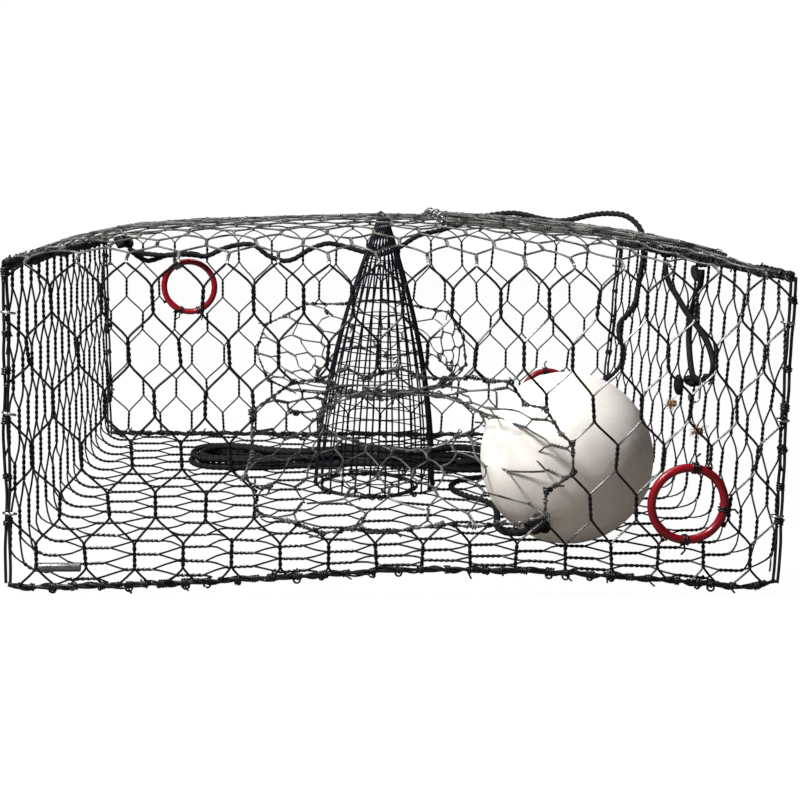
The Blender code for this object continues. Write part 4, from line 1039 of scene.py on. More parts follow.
@dataclass
class Cords:
    """The line with its knots and hank, and the elastic loop with its knots and hook."""

    painter: Painter
    knot_radius: float = 0.0085
    start_knot: tuple[float, float, float] = (-0.2935, 0.2785, 0.2330)
    bore_run: float = 0.018
    gap: float = 0.0003
    hank_centre: tuple[float, float] = (-0.035, 0.112)
    hank_length: float = 0.345
    hank_width: float = 0.093
    hank_step: float = 0.0098
    hank_climb: float = 0.25
    layer_gap: float = 0.0007
    rope_step: float = 0.0022
    lay: float = 0.021

    def axis(self) -> Array:
        """The way that the line leaves the float's bore."""
        return unit(np.array(FLOAT_AXIS))

    def stopper(self) -> Array:
        """The middle of the stopper knot."""
        reach = FLOAT_RADIUS + self.gap + self.knot_radius
        return np.array(FLOAT_CENTRE) + self.axis() * reach

    def upper_route(self) -> list:
        """The line from its first knot to the float."""
        away = unit(np.array((1.0, 0.0, -1.0)))
        start = np.array(self.start_knot) + away * (self.knot_radius + 2 * self.gap)
        centre, axis = np.array(FLOAT_CENTRE), self.axis()
        return [
            start, start + away * 0.012,
            (-0.2640, 0.2755, 0.2120), (-0.2414, 0.2750, 0.2190), (-0.2244, 0.2750, 0.2200),
            (-0.2103, 0.2750, 0.2195), (-0.1962, 0.2755, 0.2185), (-0.1763, 0.2765, 0.2275),
            (-0.1574, 0.2775, 0.2325), (-0.1404, 0.2775, 0.2320), (-0.1243, 0.2765, 0.2205),
            (-0.1072, 0.2755, 0.2145), (-0.0930, 0.2755, 0.2168), (-0.0759, 0.2765, 0.2275),
            (-0.0569, 0.2775, 0.2350), (-0.0426, 0.2775, 0.2345), (-0.0254, 0.2770, 0.2303),
            (-0.0081, 0.2765, 0.2258), (0.0110, 0.2755, 0.2238), (0.0320, 0.2730, 0.2330),
            (0.0528, 0.2660, 0.2470), (0.0750, 0.2530, 0.2540), (0.0990, 0.2340, 0.2630),
            (0.1230, 0.2120, 0.2730), (0.1486, 0.1935, 0.2780), (0.1660, 0.1865, 0.2770),
            (0.1839, 0.1820, 0.2730), (0.2024, 0.1765, 0.2710), (0.2180, 0.1680, 0.2735),
            (0.2340, 0.1560, 0.2785), (0.2500, 0.1400, 0.2815), (0.2660, 0.1210, 0.2800),
            (0.2770, 0.1060, 0.2700), (0.2810, 0.0970, 0.2560), (0.2790, 0.0860, 0.2370),
            (0.2733, 0.0780, 0.2069), (0.2689, 0.0660, 0.1943), (0.2605, 0.0550, 0.1827),
            (0.2480, 0.0440, 0.1723), (0.2455, 0.0330, 0.1592), (0.2475, 0.0200, 0.1475),
            (0.2407, 0.0000, 0.1345), (0.2252, -0.0300, 0.1275), (0.2103, -0.0580, 0.1270),
            (0.1990, -0.0880, 0.1320),
            centre - axis * (FLOAT_RADIUS + self.bore_run), centre - axis * FLOAT_RADIUS,
            centre, centre + axis * FLOAT_RADIUS,
        ]

    def tail_route(self, end: Array) -> list:
        """The line from the stopper knot over the floor to the hank.

        Args:
            end: Where the hank begins.

        Returns:
            The points that it passes through.
        """
        aside = unit(np.array((-0.93, 0.0, -0.37)))
        start = self.stopper() + aside * (self.knot_radius + 2 * self.gap)
        z = ROPE_FLOOR
        return [
            start, start + aside * 0.006, (0.0935, -0.2420, 0.0290), (0.0905, -0.2200, 0.0260),
            (0.0930, -0.1900, 0.0200), (0.0965, -0.1600, 0.0145), (0.1010, -0.1320, z + 0.0010),
            (0.1040, -0.1080, z), (0.1050, -0.0850, z), (0.0990, -0.0640, z),
            (0.0830, -0.0440, z), (0.0720, -0.0200, z), (0.0740, 0.0060, z),
            (0.0900, 0.0260, z), (0.1130, 0.0370, z), (0.1280, 0.0500, z),
            (0.1230, 0.0645, z), end + np.array((0.012, 0, 0)), end,
        ]

    @staticmethod
    def slackened(x: float, y: float, above: float) -> float:
        """How the loops lie: drawn in at their middle, and swayed, the upper layer most.

        Args:
            x: A place along the hank, from its middle.
            y: The place across it, in even loops.
            above: How many loops it is past the lower layer.

        Returns:
            The place across it as it lies.
        """
        waist, waist_reach, pinch, sway, upper_sway = 0.10, 0.045, 0.017, 0.006, 0.007
        y *= 1 - waist * math.exp(-((x / waist_reach) ** 2))
        drawn = smoothed((x + 0.115) / 0.080) * smoothed((0.126 - x) / 0.055)
        y -= math.copysign(pinch * drawn, y)
        calm = smoothed((0.150 - abs(x)) / 0.060)
        y += sway * calm * math.sin(2 * math.pi * x / 0.20)
        upper = smoothed((above - 0.25) / 0.3)
        return y + upper_sway * calm * upper * math.cos(2 * math.pi * x / 0.16)

    def hank_route(self) -> Array:
        """The hank's loops: they spiral in below, climb along a run and spiral out above."""
        runs, turns, loops = 10, 7, 2
        half_wide = self.hank_width / 2 - ROPE_RADIUS
        straight = self.hank_length / 2 - ROPE_RADIUS - half_wide
        a_loop = 2 * (runs + turns)
        rise = 2 * ROPE_RADIUS + self.layer_gap
        found = []
        for n in range(2 * loops * a_loop + 1):
            turn = n / a_loop
            climb = min(max(turn - loops, 0.0) / self.hank_climb, 1.0)
            radius = half_wide - self.hank_step * (loops - abs(turn - loops))
            spot = n % a_loop
            if spot < runs:
                x, y = straight - 2 * straight * spot / runs, -radius
            elif spot < runs + turns:
                angle = math.pi * (spot - runs) / turns
                x, y = -straight - radius * math.sin(angle), -radius * math.cos(angle)
            elif spot < 2 * runs + turns:
                x, y = 2 * straight * (spot - runs - turns) / runs - straight, radius
            else:
                angle = math.pi * (spot - 2 * runs - turns) / turns
                x, y = straight + radius * math.sin(angle), radius * math.cos(angle)
            y = self.slackened(x, y, turn - loops)
            z = ROPE_FLOOR + rise * climb * climb * (3 - 2 * climb)
            found.append((self.hank_centre[0] + x, self.hank_centre[1] + y, z))
        line = np.array(found)
        run_in = np.array((2 * ROPE_RADIUS, 0.0, 0.0))
        return np.vstack([line[0] + run_in, line, line[-1] - run_in])

    def rope(self, name: str, path: Array) -> bpy.types.Object:
        """A three-strand laid rope along a path.

        Args:
            name: Its name.
            path: Its middle points.

        Returns:
            The rope.
        """
        spinner = Spinner(12)
        strand = (0.66, 0.93, 1.0, 0.93)
        profile = np.tile(strand, 3)
        along = np.arange(len(path)) * length_of(path) / (len(path) - 1)
        spinner.wire(path, ROPE_RADIUS, profile=profile, turn=2 * math.pi * along / self.lay)
        return spinner.made(name, 80)

    def build(self) -> None:
        """Lays the line, the knots, the elastic loop and the hook."""
        hank = self.hank_route()
        upper = through(self.upper_route())
        tail = through(self.tail_route(hank[0] + np.array((self.gap, 0, 0))))
        path = evenly(np.vstack([upper, tail, through(hank[1:], 12)]), self.rope_step)
        line = self.rope("trap_line", path)
        self.painter.dress(line, Finish.ROPE, TRAP, "rope_upper", "rope_tail", "rope_hank")
        knots = [
            self.knot("line_start_knot", np.array(self.start_knot), 0.0125, 0.0034, Finish.ROPE,
                      "rope_start_knot"),
            self.knot("line_stopper_knot", self.stopper(), 0.0115, 0.0034, Finish.ROPE,
                      "rope_stopper_knot", (1.08, 0.8, 0.78)),
            self.doubled(),
        ]
        LOG.info("line: %.3f m", length_of(path))
        self.elastic()

    def doubled(self) -> bpy.types.Object:
        """The line's own end, laid back beside it from the first knot."""
        path = evenly(through([
            (-0.2860, 0.2720, 0.2250), (-0.2740, 0.2700, 0.2215), (-0.2600, 0.2690, 0.2200),
            (-0.2450, 0.2690, 0.2190), (-0.2280, 0.2690, 0.2205), (-0.2120, 0.2700, 0.2215),
            (-0.2020, 0.2710, 0.2190),
        ]), self.rope_step)
        thing = self.rope("line_end_laid_back", path)
        self.painter.dress(thing, Finish.ROPE, TRAP)
        return thing

    def knot(self, name: str, centre: Array, reach: float, wire: float, finish: Finish,
             node: str | None, stretch: tuple[float, float, float] = (1.0, 1.0, 1.0),
             ) -> bpy.types.Object:
        """A tight knot, as a cord drawn round itself three times.

        Args:
            name: Its name.
            centre: Its middle.
            reach: How far it reaches from its middle.
            wire: Its cord's radius.
            finish: Its surface.
            node: The CAD node that it takes the place of, if there is one.
            stretch: How it is stretched along each axis.

        Returns:
            The knot.
        """
        t = np.linspace(0, 2 * math.pi, 72, endpoint=False)
        line = np.stack([
            np.sin(t) + 2 * np.sin(2 * t), np.cos(t) - 2 * np.cos(2 * t), -1.3 * np.sin(3 * t),
        ], 1)
        line = line * (reach - wire) / 3.0 * np.array(stretch) + centre
        spinner = Spinner(8)
        spinner.wire(line, wire, closed=True)
        thing = spinner.made(name, 80)
        self.painter.dress(thing, finish, TRAP, *([node] if node else []))
        return thing

    def elastic(self) -> None:
        """The elastic loop that shuts the access door, with its knots and its hook."""
        rear, front = (0.29504, 0.054, 0.24366), (0.29504, -0.0753, 0.24366)
        drop = np.array((0, 0, -0.0058))
        points = [
            rear + drop, rear + 2 * drop,
            (0.2935, 0.0440, 0.2240), (0.2905, 0.0150, 0.2150), (0.2895, -0.0150, 0.2070),
            (0.2895, -0.0450, 0.1970), (0.2905, -0.0720, 0.1890), (0.2920, -0.0950, 0.1820),
            (0.2935, -0.1170, 0.1710), (0.2940, -0.1320, 0.1570), (0.2935, -0.1290, 0.1445),
            (0.2930, -0.1180, 0.1405), (0.2930, -0.1020, 0.1380), (0.2935, -0.0830, 0.1345),
            (0.2945, -0.0660, 0.1380), (0.2960, -0.0490, 0.1530), (0.2970, -0.0390, 0.1720),
            (0.2975, -0.0410, 0.1930), (0.2970, -0.0540, 0.2090), (0.2960, -0.0690, 0.2210),
            front + 2 * drop, front + drop,
        ]
        path = evenly(through(points), 0.0016)
        spinner = Spinner(8)
        spinner.wire(path, ELASTIC_RADIUS * ELASTIC_SWELL)
        cord = spinner.made("elastic_cord", 80)
        self.painter.dress(cord, Finish.ELASTIC, TRAP, "elastic_loop")
        for name, centre, reach, wire, node in (
            ("elastic_rear_knot", rear, 0.0062, 0.0021, "elastic_knot_rear"),
            ("elastic_front_knot", front, 0.0062, 0.0021, "elastic_knot_front"),
            ("elastic_lower_knot", (0.2945, -0.0700, 0.1310), 0.0088, 0.0030, None),
        ):
            self.knot(name, np.array(centre), reach, wire, Finish.ELASTIC, node)
        for name, centre, reach, lean in (
            ("elastic_stop", (0.2945, -0.0215, 0.1190), (0.0048, 0.0052, 0.0105), -12),
            ("elastic_toggle", (0.2930, -0.0620, 0.2335), (0.0042, 0.0105, 0.0042), 38),
        ):
            self.blob(name, np.array(centre), reach, lean)
        hook = self.hook()
        LOG.info("elastic: %.3f m", length_of(path))

    def blob(self, name: str, centre: Array, reach: tuple[float, float, float],
             lean: float) -> bpy.types.Object:
        """A rubber stop on the elastic, as a rounded block.

        Args:
            name: Its name.
            centre: Its middle.
            reach: Half its size along each axis.
            lean: How many degrees it leans.

        Returns:
            The stop.
        """
        deselect()
        bpy.ops.mesh.primitive_uv_sphere_add(segments=20, ring_count=12, radius=1.0,
                                             location=centre,
                                             rotation=(math.radians(lean), 0, 0), scale=reach)
        thing = bpy.context.active_object
        thing.name = name
        bpy.ops.object.transform_apply(location=True, rotation=True, scale=True)
        bpy.ops.object.shade_smooth()
        self.painter.dress(thing, Finish.ELASTIC, TRAP)
        return thing

    def hook(self) -> bpy.types.Object:
        """The wire hook that hangs on the elastic loop."""
        low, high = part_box("door_hook")
        wire, curl = 0.0011, 0.0050
        upper = np.array((high[0] - curl - wire, (low[1] + high[1]) / 2, high[2] - curl - wire))
        lower = np.array((low[0] + curl + wire, (low[1] + high[1]) / 2, low[2] + curl + wire))
        points = []
        for centre, first, turn, count in ((upper, -60, 10, 25), (lower, 0, -10, 22)):
            for i in range(count):
                angle = math.radians(first + turn * i)
                points.append(centre + curl * np.array((math.cos(angle), 0, math.sin(angle))))
        spinner = Spinner(8)
        spinner.wire(np.array(points), wire, guide=np.array((0.0, 1.0, 0.0)))
        thing = spinner.made("spring_hook", 80)
        self.painter.dress(thing, Finish.BRIGHT_RING, TRAP, "door_hook")
        return thing


def rectangle(left: float, right: float, front: float, back: float) -> Array:
    """The corners of a rectangle on a flat sheet."""
    return np.array([(left, front), (right, front), (right, back), (left, back)])


def evenly_flat(corners: Array, step: float) -> Array:
    """A closed flat outline with points about a step apart.

    Args:
        corners: Its corners.
        step: About how far apart the points are.

    Returns:
        Its points.
    """
    found = []
    for a, b in zip(corners, np.roll(corners, -1, 0)):
        count = max(1, round(float(np.linalg.norm(b - a)) / step))
        found.append(a + (b - a) * (np.arange(count) / count)[:, None])
    return np.vstack(found)


@dataclass
class SheetOver:
    """The long sheet of netting that runs up the front, over the top and down the back."""

    painter: Painter
    front_escape: tuple[float, float] = (0.232, 0.066)
    back_escapes: tuple[tuple[float, float], ...] = ((0.218, 0.054), (-0.2175, 0.181))
    escape_hole: float = 0.0345
    overlap: float = 0.03
    foot: float = 0.0030

    @staticmethod
    def place(points: Array) -> Array:
        """Puts places of the sheet on the box, with its folds rounded."""
        total = np.zeros_like(points)
        for shift in FOLD_SHIFTS:
            moved = points.copy()
            moved[:, 1] += shift
            total += SheetOver.sharp(moved)
        return total / len(FOLD_SHIFTS)

    @staticmethod
    def leaned(u: Array, v: Array | float) -> Array:
        """Where places of the front net lie across, as it leans and widens upwards."""
        lean = (v - LEAN_MIDDLE) / LEAN_HEIGHT
        return u - LEAN_SHIFT * lean + LEAN_SPREAD * lean * u / LEAN_WIDTH

    @staticmethod
    def sharp(points: Array) -> Array:
        """Puts places of the sheet on the box, with its folds sharp.

        Args:
            points: Places across the sheet, along it from the front's foot, and out of it.

        Returns:
            The places on the box.
        """
        u, v, w = points.T
        share = np.clip((v - FRONT_FOLD) / (BACK_FOLD - FRONT_FOLD), 0, 1)
        back_x = u - BACK_SHIFT
        fold_x = SheetOver.leaned(u, FRONT_FOLD)
        top_x = fold_x * (1 - share) + back_x * share
        x = np.where(v < FRONT_FOLD, SheetOver.leaned(u, v), top_x)
        y = FRONT_Y + (BACK_Y - FRONT_Y) * share
        z_top = top_height(x, y)
        z = np.where(v < FRONT_FOLD, v, np.where(v > BACK_FOLD, BACK_SUM - v, z_top))
        fold_z = top_height(x, np.full_like(x, FRONT_Y))
        near = smoothed((v - FOLD_RISE_FROM) / (FRONT_FOLD - FOLD_RISE_FROM))
        z = np.where(v < FRONT_FOLD, v + (fold_z - FRONT_FOLD) * near, z)
        back_z = top_height(x, np.full_like(x, BACK_Y))
        near = smoothed((BACK_FOLD + FOLD_FALL - v) / FOLD_FALL)
        z = np.where(v > BACK_FOLD, z + (back_z - (BACK_SUM - BACK_FOLD)) * near, z)
        out_y = np.where(v < FRONT_FOLD, -w, np.where(v > BACK_FOLD, w, 0.0))
        out_z = np.where((v >= FRONT_FOLD) & (v <= BACK_FOLD), w, 0.0)
        return np.stack([x, y + out_y, z + out_z], 1)

    @staticmethod
    def edge(side: int, v: Array) -> Array:
        """Where the left or right edge lies across the sheet.

        Args:
            side: -1 for the left and 1 for the right.
            v: Places along the sheet.

        Returns:
            The edge's u at each of them.
        """
        side_i = (side + 1) // 2
        front = [CORNERS[(side_i, 0, k)][0] for k in (0, 1)]
        back = [CORNERS[(side_i, 1, k)][0] for k in (0, 1)]
        known_v = (0.0, FRONT_FOLD, BACK_FOLD, BACK_SUM)
        known_x = (front[0], front[1], back[1] + BACK_SHIFT, back[0] + BACK_SHIFT)
        inset = 0.0008
        return np.interp(v, known_v, known_x) - side * inset

    def sides(self, low: float, high: float) -> list[Array]:
        """The right edge up and the left edge down, between two places along the sheet."""
        v = np.linspace(low, high, 40)
        right = np.stack([self.edge(1, v), v], 1)
        left = np.stack([self.edge(-1, v), v], 1)[::-1]
        return [right, left]

    def escape_edge(self, place: tuple[float, float]) -> Outline:
        """The hole for an escape ring."""
        return Outline(oval(place, self.escape_hole, self.escape_hole), False)

    def front(self) -> None:
        """The front net."""
        u = np.linspace(-0.306, 0.306, 60)
        foot = self.foot + floor_bow(u, np.full_like(u, FRONT_Y))
        lower = np.stack([u, foot], 1)
        outer = Outline(np.vstack([lower, *self.sides(0.02, 0.2800)]), True)
        hole = Outline(evenly_flat(np.array(FRONT_MOUTH), OUTLINE_STEP), False)
        ring = self.escape_edge(self.front_escape)
        net = HexNet(self.place, [outer, hole, ring], first_v=FIRST_ROW, rows=FRONT_ROWS,
                     seed=SHEET_SEED, parity=1, joins=(-1, FRONT_ROWS[1]), wire=FRONT_WIRE,
                     coil=FRONT_COIL)
        hang(self.painter, net, "front_net", Finish.WIRE, TRAP, "front_panel")

    def back(self) -> None:
        """The back net."""
        outer = Outline(np.vstack(self.sides(BACK_FOLD - 0.030, BACK_SUM - 0.0035)), True)
        corners = [(x + BACK_SHIFT, BACK_SUM - z) for x, z in BACK_MOUTH]
        holes = [Outline(evenly_flat(np.array(corners[::-1]), OUTLINE_STEP), False)]
        for x, z in self.back_escapes:
            holes.append(self.escape_edge((x + BACK_SHIFT, BACK_SUM - z)))
        net = HexNet(self.place, [outer, *holes], first_v=FIRST_ROW, rows=BACK_ROWS,
                     seed=SHEET_SEED, parity=1, joins=BACK_ROWS)
        hang(self.painter, net, "back_net", Finish.WIRE, TRAP, "back_panel")

    def top(self) -> None:
        """The top net, with the opening under the access door."""
        low, high = FRONT_FOLD - self.overlap, BACK_FOLD + self.overlap
        outer = Outline(np.vstack(self.sides(low, high)), True)
        scale = (BACK_FOLD - FRONT_FOLD) / (BACK_Y - FRONT_Y)
        left, right, front, back = DOOR_OPENING
        low = FRONT_FOLD + (front - FRONT_Y) * scale
        high = FRONT_FOLD + (back - FRONT_Y) * scale
        corners = rectangle(left, right, low, high)
        net = HexNet(self.place, [outer, Outline(corners, False)], first_v=FIRST_ROW,
                     rows=TOP_ROWS, seed=SHEET_SEED, parity=1, joins=TOP_ROWS)
        rim = Outline(evenly_flat(corners, OUTLINE_STEP), False)
        # The top net's wire carries painted sheen: light grey patches for glints
        hang(self.painter, net, "top_net", Finish.WORN, TRAP, "top_panel", (rim, 0.0012))

    def door(self) -> None:
        """The access door, a flap of the same netting with a border wire."""

        def place(points: Array) -> Array:
            """Puts places of the flap above the top."""
            x, y, w = points.T
            return np.stack([x, y, top_height(x, y) + DOOR_LIFT + w], 1)

        rim = Outline(evenly_flat(rectangle(*DOOR_FLAP), OUTLINE_STEP), True)
        net = HexNet(place, [rim], first_v=-0.15, start_u=0.056, rows=(-1, 7), columns=(-2, 14),
                     seed=9)
        # The door's wire carries painted sheen: light grey patches for glints
        hang(self.painter, net, "access_door_net", Finish.WORN, ACCESS_DOOR, "access_door",
             (rim, 0.0014))

    def build(self) -> None:
        """Makes the four nets of this sheet."""
        self.front()
        self.top()
        self.back()
        self.door()


@dataclass
class SheetUnder:
    """The sheet of netting that runs down the left wall, under the floor and up the right."""

    painter: Painter

    def __post_init__(self) -> None:
        """Works out how far the sheet runs flat, round its bend and up the wall."""
        self.flat = SEAM_X - WALL_BEND
        self.arc = WALL_BEND * math.pi / 2
        self.high = self.flat + self.arc + SEAM_TOP - FLOOR_Z - WALL_BEND - 0.003

    def place(self, points: Array) -> Array:
        """Puts places of the sheet on the box: u is depth, v runs from left to right."""
        u, v, w = points.T
        side = np.sign(v)
        far = np.abs(v)
        angle = np.clip((far - self.flat) / WALL_BEND, 0, math.pi / 2)
        x = np.minimum(far, self.flat) + WALL_BEND * np.sin(angle)
        z = FLOOR_Z + WALL_BEND * (1 - np.cos(angle)) + np.maximum(far - self.flat - self.arc, 0)
        x = x - w * np.sin(angle)
        z = z + w * np.cos(angle)
        nominal = np.stack([side * x, u, z], 1)
        found = boxed(nominal)
        found[:, 2] += floor_bow(found[:, 0], found[:, 1]) * (1 - smoothed((z - 0.01) / 0.05))
        return found

    def build(self) -> None:
        """Makes the two walls and the floor, and then the bait door."""
        hole = Outline(oval((0.0, WELL_X), BAIT_HOLE_RADIUS, BAIT_HOLE_RADIUS, 32), False)
        cut = self.flat
        for name, node, low, high, rows, holes in (
            ("left_wall_net", "left_wall", -self.high, -cut, (-7, -1), ()),
            ("floor_net", "floor_panel", -cut, cut, (-1, 14), (hole,)),
            ("right_wall_net", "right_wall", cut, self.high, (13, 20), ()),
        ):
            outer = Outline(rectangle(FRONT_Y, BACK_Y, low, high), True)
            net = HexNet(self.place, [outer, *holes], start_u=FLOOR_COLUMN_START,
                         first_v=FLOOR_ROW_START, rows=rows, columns=(-12, 22), seed=12,
                         slack=0.0009, wraps=False)
            border = (hole, 0.0012) if holes else None
            hang(self.painter, net, name, Finish.WIRE, TRAP, node, border)
        self.bait_door()

    def bait_door(self) -> None:
        """The bait door in the floor."""

        def place(points: Array) -> Array:
            """Puts places of the door in the floor."""
            x, y, w = points.T
            nominal = boxed(np.stack([x, y, FLOOR_Z + w], 1))
            nominal[:, 2] += floor_bow(x, y)
            return nominal

        angle = math.pi / 8 + 2 * math.pi * np.arange(8) / 8
        reach = BAIT_DOOR_APOTHEM / math.cos(math.pi / 8)
        corners = np.stack([WELL_X + reach * np.cos(angle), reach * np.sin(angle)], 1)
        rim = Outline(evenly_flat(corners, 0.009), True)
        net = HexNet(place, [rim], pitch=0.0254, row=0.027, twist=0.0140, start_u=WELL_X,
                     rows=(-3, 3), columns=(-6, 6), seed=15)
        hang(self.painter, net, "bait_door_net", Finish.WIRE, BAIT_DOOR, "bait_door",
             (rim, 0.0013))


@dataclass
class Sleeve:
    """One funnel, a sleeve of netting: side is -1 for the front one and 1 for the back one."""

    side: int
    throat: tuple[float, float, float, float] = (0.010, 0.103, 0.072, 0.0270)
    length: float = 0.158
    columns: int = 16
    row: float = 0.0400
    twist: float = 0.0190
    mouth_y: float = 0.2886
    start_y: float = 0.2884
    flare_power: float = 1.75
    ripple: float = 0.0016
    drop: float = 0.0035

    def __post_init__(self) -> None:
        """Shapes the sleeve and starts its random draws."""
        self.corners = np.array(FRONT_MOUTH if self.side < 0 else BACK_MOUTH)
        self.place = self.shape()
        self.spinner = Spinner(4)
        self.rng = np.random.default_rng(31 + self.side)

    def shape(self) -> Place:
        """The shape of the sleeve: u round it in columns, v inwards."""
        rim = evenly_flat(self.corners, 0.004)
        middle = rim.mean(0)
        way = np.arctan2((rim[:, 1] - middle[1]) / 0.5, rim[:, 0] - middle[0]) % (2 * math.pi)
        order = np.argsort(way)
        rim, way = rim[order], way[order]
        cx, cz, half_u, half_v = self.throat
        waves = np.random.default_rng(21 + self.side).normal(0, 1.0, (5, 4))

        def place(points: Array) -> Array:
            """Puts places of the sleeve."""
            u, v, w = points.T
            share = np.clip(v / self.length, 0, 1.08)
            flare = np.clip(1 - share, 0, 1) ** self.flare_power
            angle = (2 * math.pi * u / self.columns) % (2 * math.pi)
            mouth_x = np.interp(angle, way, rim[:, 0], period=2 * math.pi)
            mouth_z = np.interp(angle, way, rim[:, 1], period=2 * math.pi)
            ripple = np.zeros_like(u)
            for k, (a, b, _, d) in enumerate(waves):
                ripple += self.ripple * a * np.sin((k + 2) * angle + b * 2 + (14 + 8 * d) * v)
            ripple = ripple * np.clip(share * 2.5, 0, 1) - w
            throat_x = cx + (half_u + ripple) * np.cos(angle)
            throat_z = cz + (half_v + ripple) * np.sin(angle)
            x = throat_x + (mouth_x - throat_x) * flare
            z = throat_z + (mouth_z - throat_z) * flare
            low_half = np.sin(angle) < 0
            drop = self.drop * np.sin(math.pi * np.clip(share, 0, 1)) * low_half
            y = self.side * (self.start_y - v)
            return np.stack([x, y, z - drop], 1)

        return place

    def knots(self) -> dict[tuple[int, int], tuple[float, float]]:
        """The middle of every twist, by its half column and row."""
        rng, found = self.rng, {}
        for j in range(-1, 6):
            for h in range(2 * self.columns):
                if (h + j) % 2 == 0:
                    found[(h, j)] = (0.25 + h / 2 + rng.normal(0, 0.07),
                                     0.0165 + j * self.row + rng.normal(0, 0.0032))
        return found

    def weave(self) -> list[tuple]:
        """Weaves the mesh, whose columns close on themselves, and gives its twists' places."""
        nodes = self.knots()
        for (h, j), (u, v) in nodes.items():
            if 0 <= j <= 3:
                foot = (u, max(v - self.twist / 2, 0.0))
                head = (u + self.rng.normal(0, 0.05), min(v + self.twist / 2, self.length))
                self.pair(foot, head)
            for side in (-1, 1):
                other = nodes.get(((h + side) % (2 * self.columns), j + 1))
                if other is not None and j <= 3:
                    self.single((u, v), other, side)
        return list(nodes.values())

    def single(self, lower: tuple, upper: tuple, side: int) -> None:
        """A single wire between two twists.

        Args:
            lower: The place of the twist that it leaves.
            upper: The place of the twist that it joins.
            side: -1 where it goes back round the sleeve and 1 where it goes on.
        """
        u, v = lower
        to = upper[0]
        if to - u > self.columns / 2:
            to -= self.columns
        if u - to > self.columns / 2:
            to += self.columns
        a = np.array((u + side * 0.02, v + self.twist / 2))
        b = np.array((to - side * 0.02, upper[1] - self.twist / 2))
        low = max(0.0, (0.0 - a[1]) / (b[1] - a[1]))
        high = min(1.0, (self.length - a[1]) / (b[1] - a[1]))
        if high - low < 0.1:
            return
        t = low + (high - low) * np.array((0.0, 0.1, 0.3, 0.5, 0.7, 0.9, 1.0))
        sag = self.rng.normal(0, 0.0016)
        line = np.stack([a[0] + (b[0] - a[0]) * t, a[1] + (b[1] - a[1]) * t,
                         sag * np.sin(math.pi * t)], 1)
        self.spinner.wire(self.place(line), WIRE)

    def pair(self, start: tuple, end: tuple) -> None:
        """Two wires twisted round each other from one place of the sleeve to another."""
        if abs(end[1] - start[1]) < 0.004:
            return
        t = np.linspace(0, 1, STATIONS)
        u = start[0] + (end[0] - start[0]) * t
        v = start[1] + (end[1] - start[1]) * t
        self.twine(self.place(np.stack([u, v, 0 * t], 1)), HALF_TURNS / 2, COIL, WIRE)

    def twine(self, middle: Array, turns: float, radius: float, wire: float) -> None:
        """Two wires twisted round a line.

        Args:
            middle: The line.
            turns: How many turns they make.
            radius: How far they lie from it.
            wire: Their radius.
        """
        ahead = unit(np.gradient(middle, axis=0))
        across = unit(np.cross(ahead, (0.3, 0.2, 0.93)))
        up = np.cross(ahead, across)
        turn = 2 * math.pi * turns * np.linspace(0, 1, len(middle))
        for start in (0.0, math.pi):
            offset = np.cos(turn + start)[:, None] * across + np.sin(turn + start)[:, None] * up
            self.spinner.wire(middle + radius * offset, wire)

    def rim(self) -> None:
        """The twisted wires round the mouth, with the wrapped joints to the end net."""
        rng = self.rng
        closed = np.vstack([self.corners, self.corners[:1]])
        mouth_y = self.side * self.mouth_y
        flat = np.full(len(closed), mouth_y)
        fine = evenly(np.stack([closed[:, 0], flat, closed[:, 1]], 1), 0.0022)
        kernel = np.ones(5) / 5
        for k in range(3):
            padded = np.concatenate([fine[-3:-1, k], fine[:, k], fine[1:3, k]])
            fine[:, k] = np.convolve(padded, kernel, "valid")
        fine[:, 1] += rng.normal(0, 0.0003, len(fine))
        long = length_of(fine)
        self.twine(fine, long / 0.011, 0.0007, 0.00082)
        for x, z in self.corners:
            spot = np.array((x, mouth_y, z))
            way = fine[(abs(fine - spot).sum(1)).argmin() - 3] - spot
            turns = rng.uniform(1.6, 3.8)
            self.spinner.coil(spot, way + rng.normal(0, 0.001, 3), 0.0018, 0.00085, turns, 0.0021,
                              rng.uniform(0, 6))
            if rng.uniform() < 0.55:
                inwards = np.array((0.0, -self.side * 0.2, 0.0))
                self.stub(spot, inwards + rng.normal(0, 0.6, 3))
        along = 0.0
        while along < long - 0.012:
            i = int(len(fine) * along / long)
            way = fine[i + 1] - fine[i] + rng.normal(0, 0.0004, 3)
            self.spinner.coil(fine[i], way, 0.0016, 0.0008, rng.uniform(1.0, 2.2), 0.0024,
                              rng.uniform(0, 6))
            along += rng.uniform(0.018, 0.045)

    def edge(self) -> None:
        """The wire round the throat, with the cut ends wound on it."""
        rng = self.rng
        u = np.linspace(0, self.columns, 110)
        wave = 0.0020 * np.sin(u * 1.7) + 0.0012 * np.sin(u * 4.9 + 1)
        self.spinner.wire(self.place(np.stack([u, self.length + wave, 0 * u], 1)), 0.0009)
        for spot in np.sort(rng.uniform(0, self.columns, 26)):
            ends = np.array([(spot, self.length, 0.0), (spot + 0.05, self.length, 0.0)])
            pair = self.place(ends)
            self.spinner.coil(pair[0], pair[1] - pair[0], 0.0017, WIRE, rng.uniform(1.4, 3.4),
                              0.0018, rng.uniform(0, 6))

    def stub(self, start: Array, way: Array) -> None:
        """A short cut end of wire."""
        way = unit(way)
        bend = unit(way + 0.8 * self.rng.normal(0, 1, 3))
        run = self.rng.uniform(0.006, 0.012)
        tip = start + way * run * 0.8 + bend * run * 0.35
        self.spinner.wire(np.array([start, start + way * run * 0.5, tip]), WIRE * 0.95)

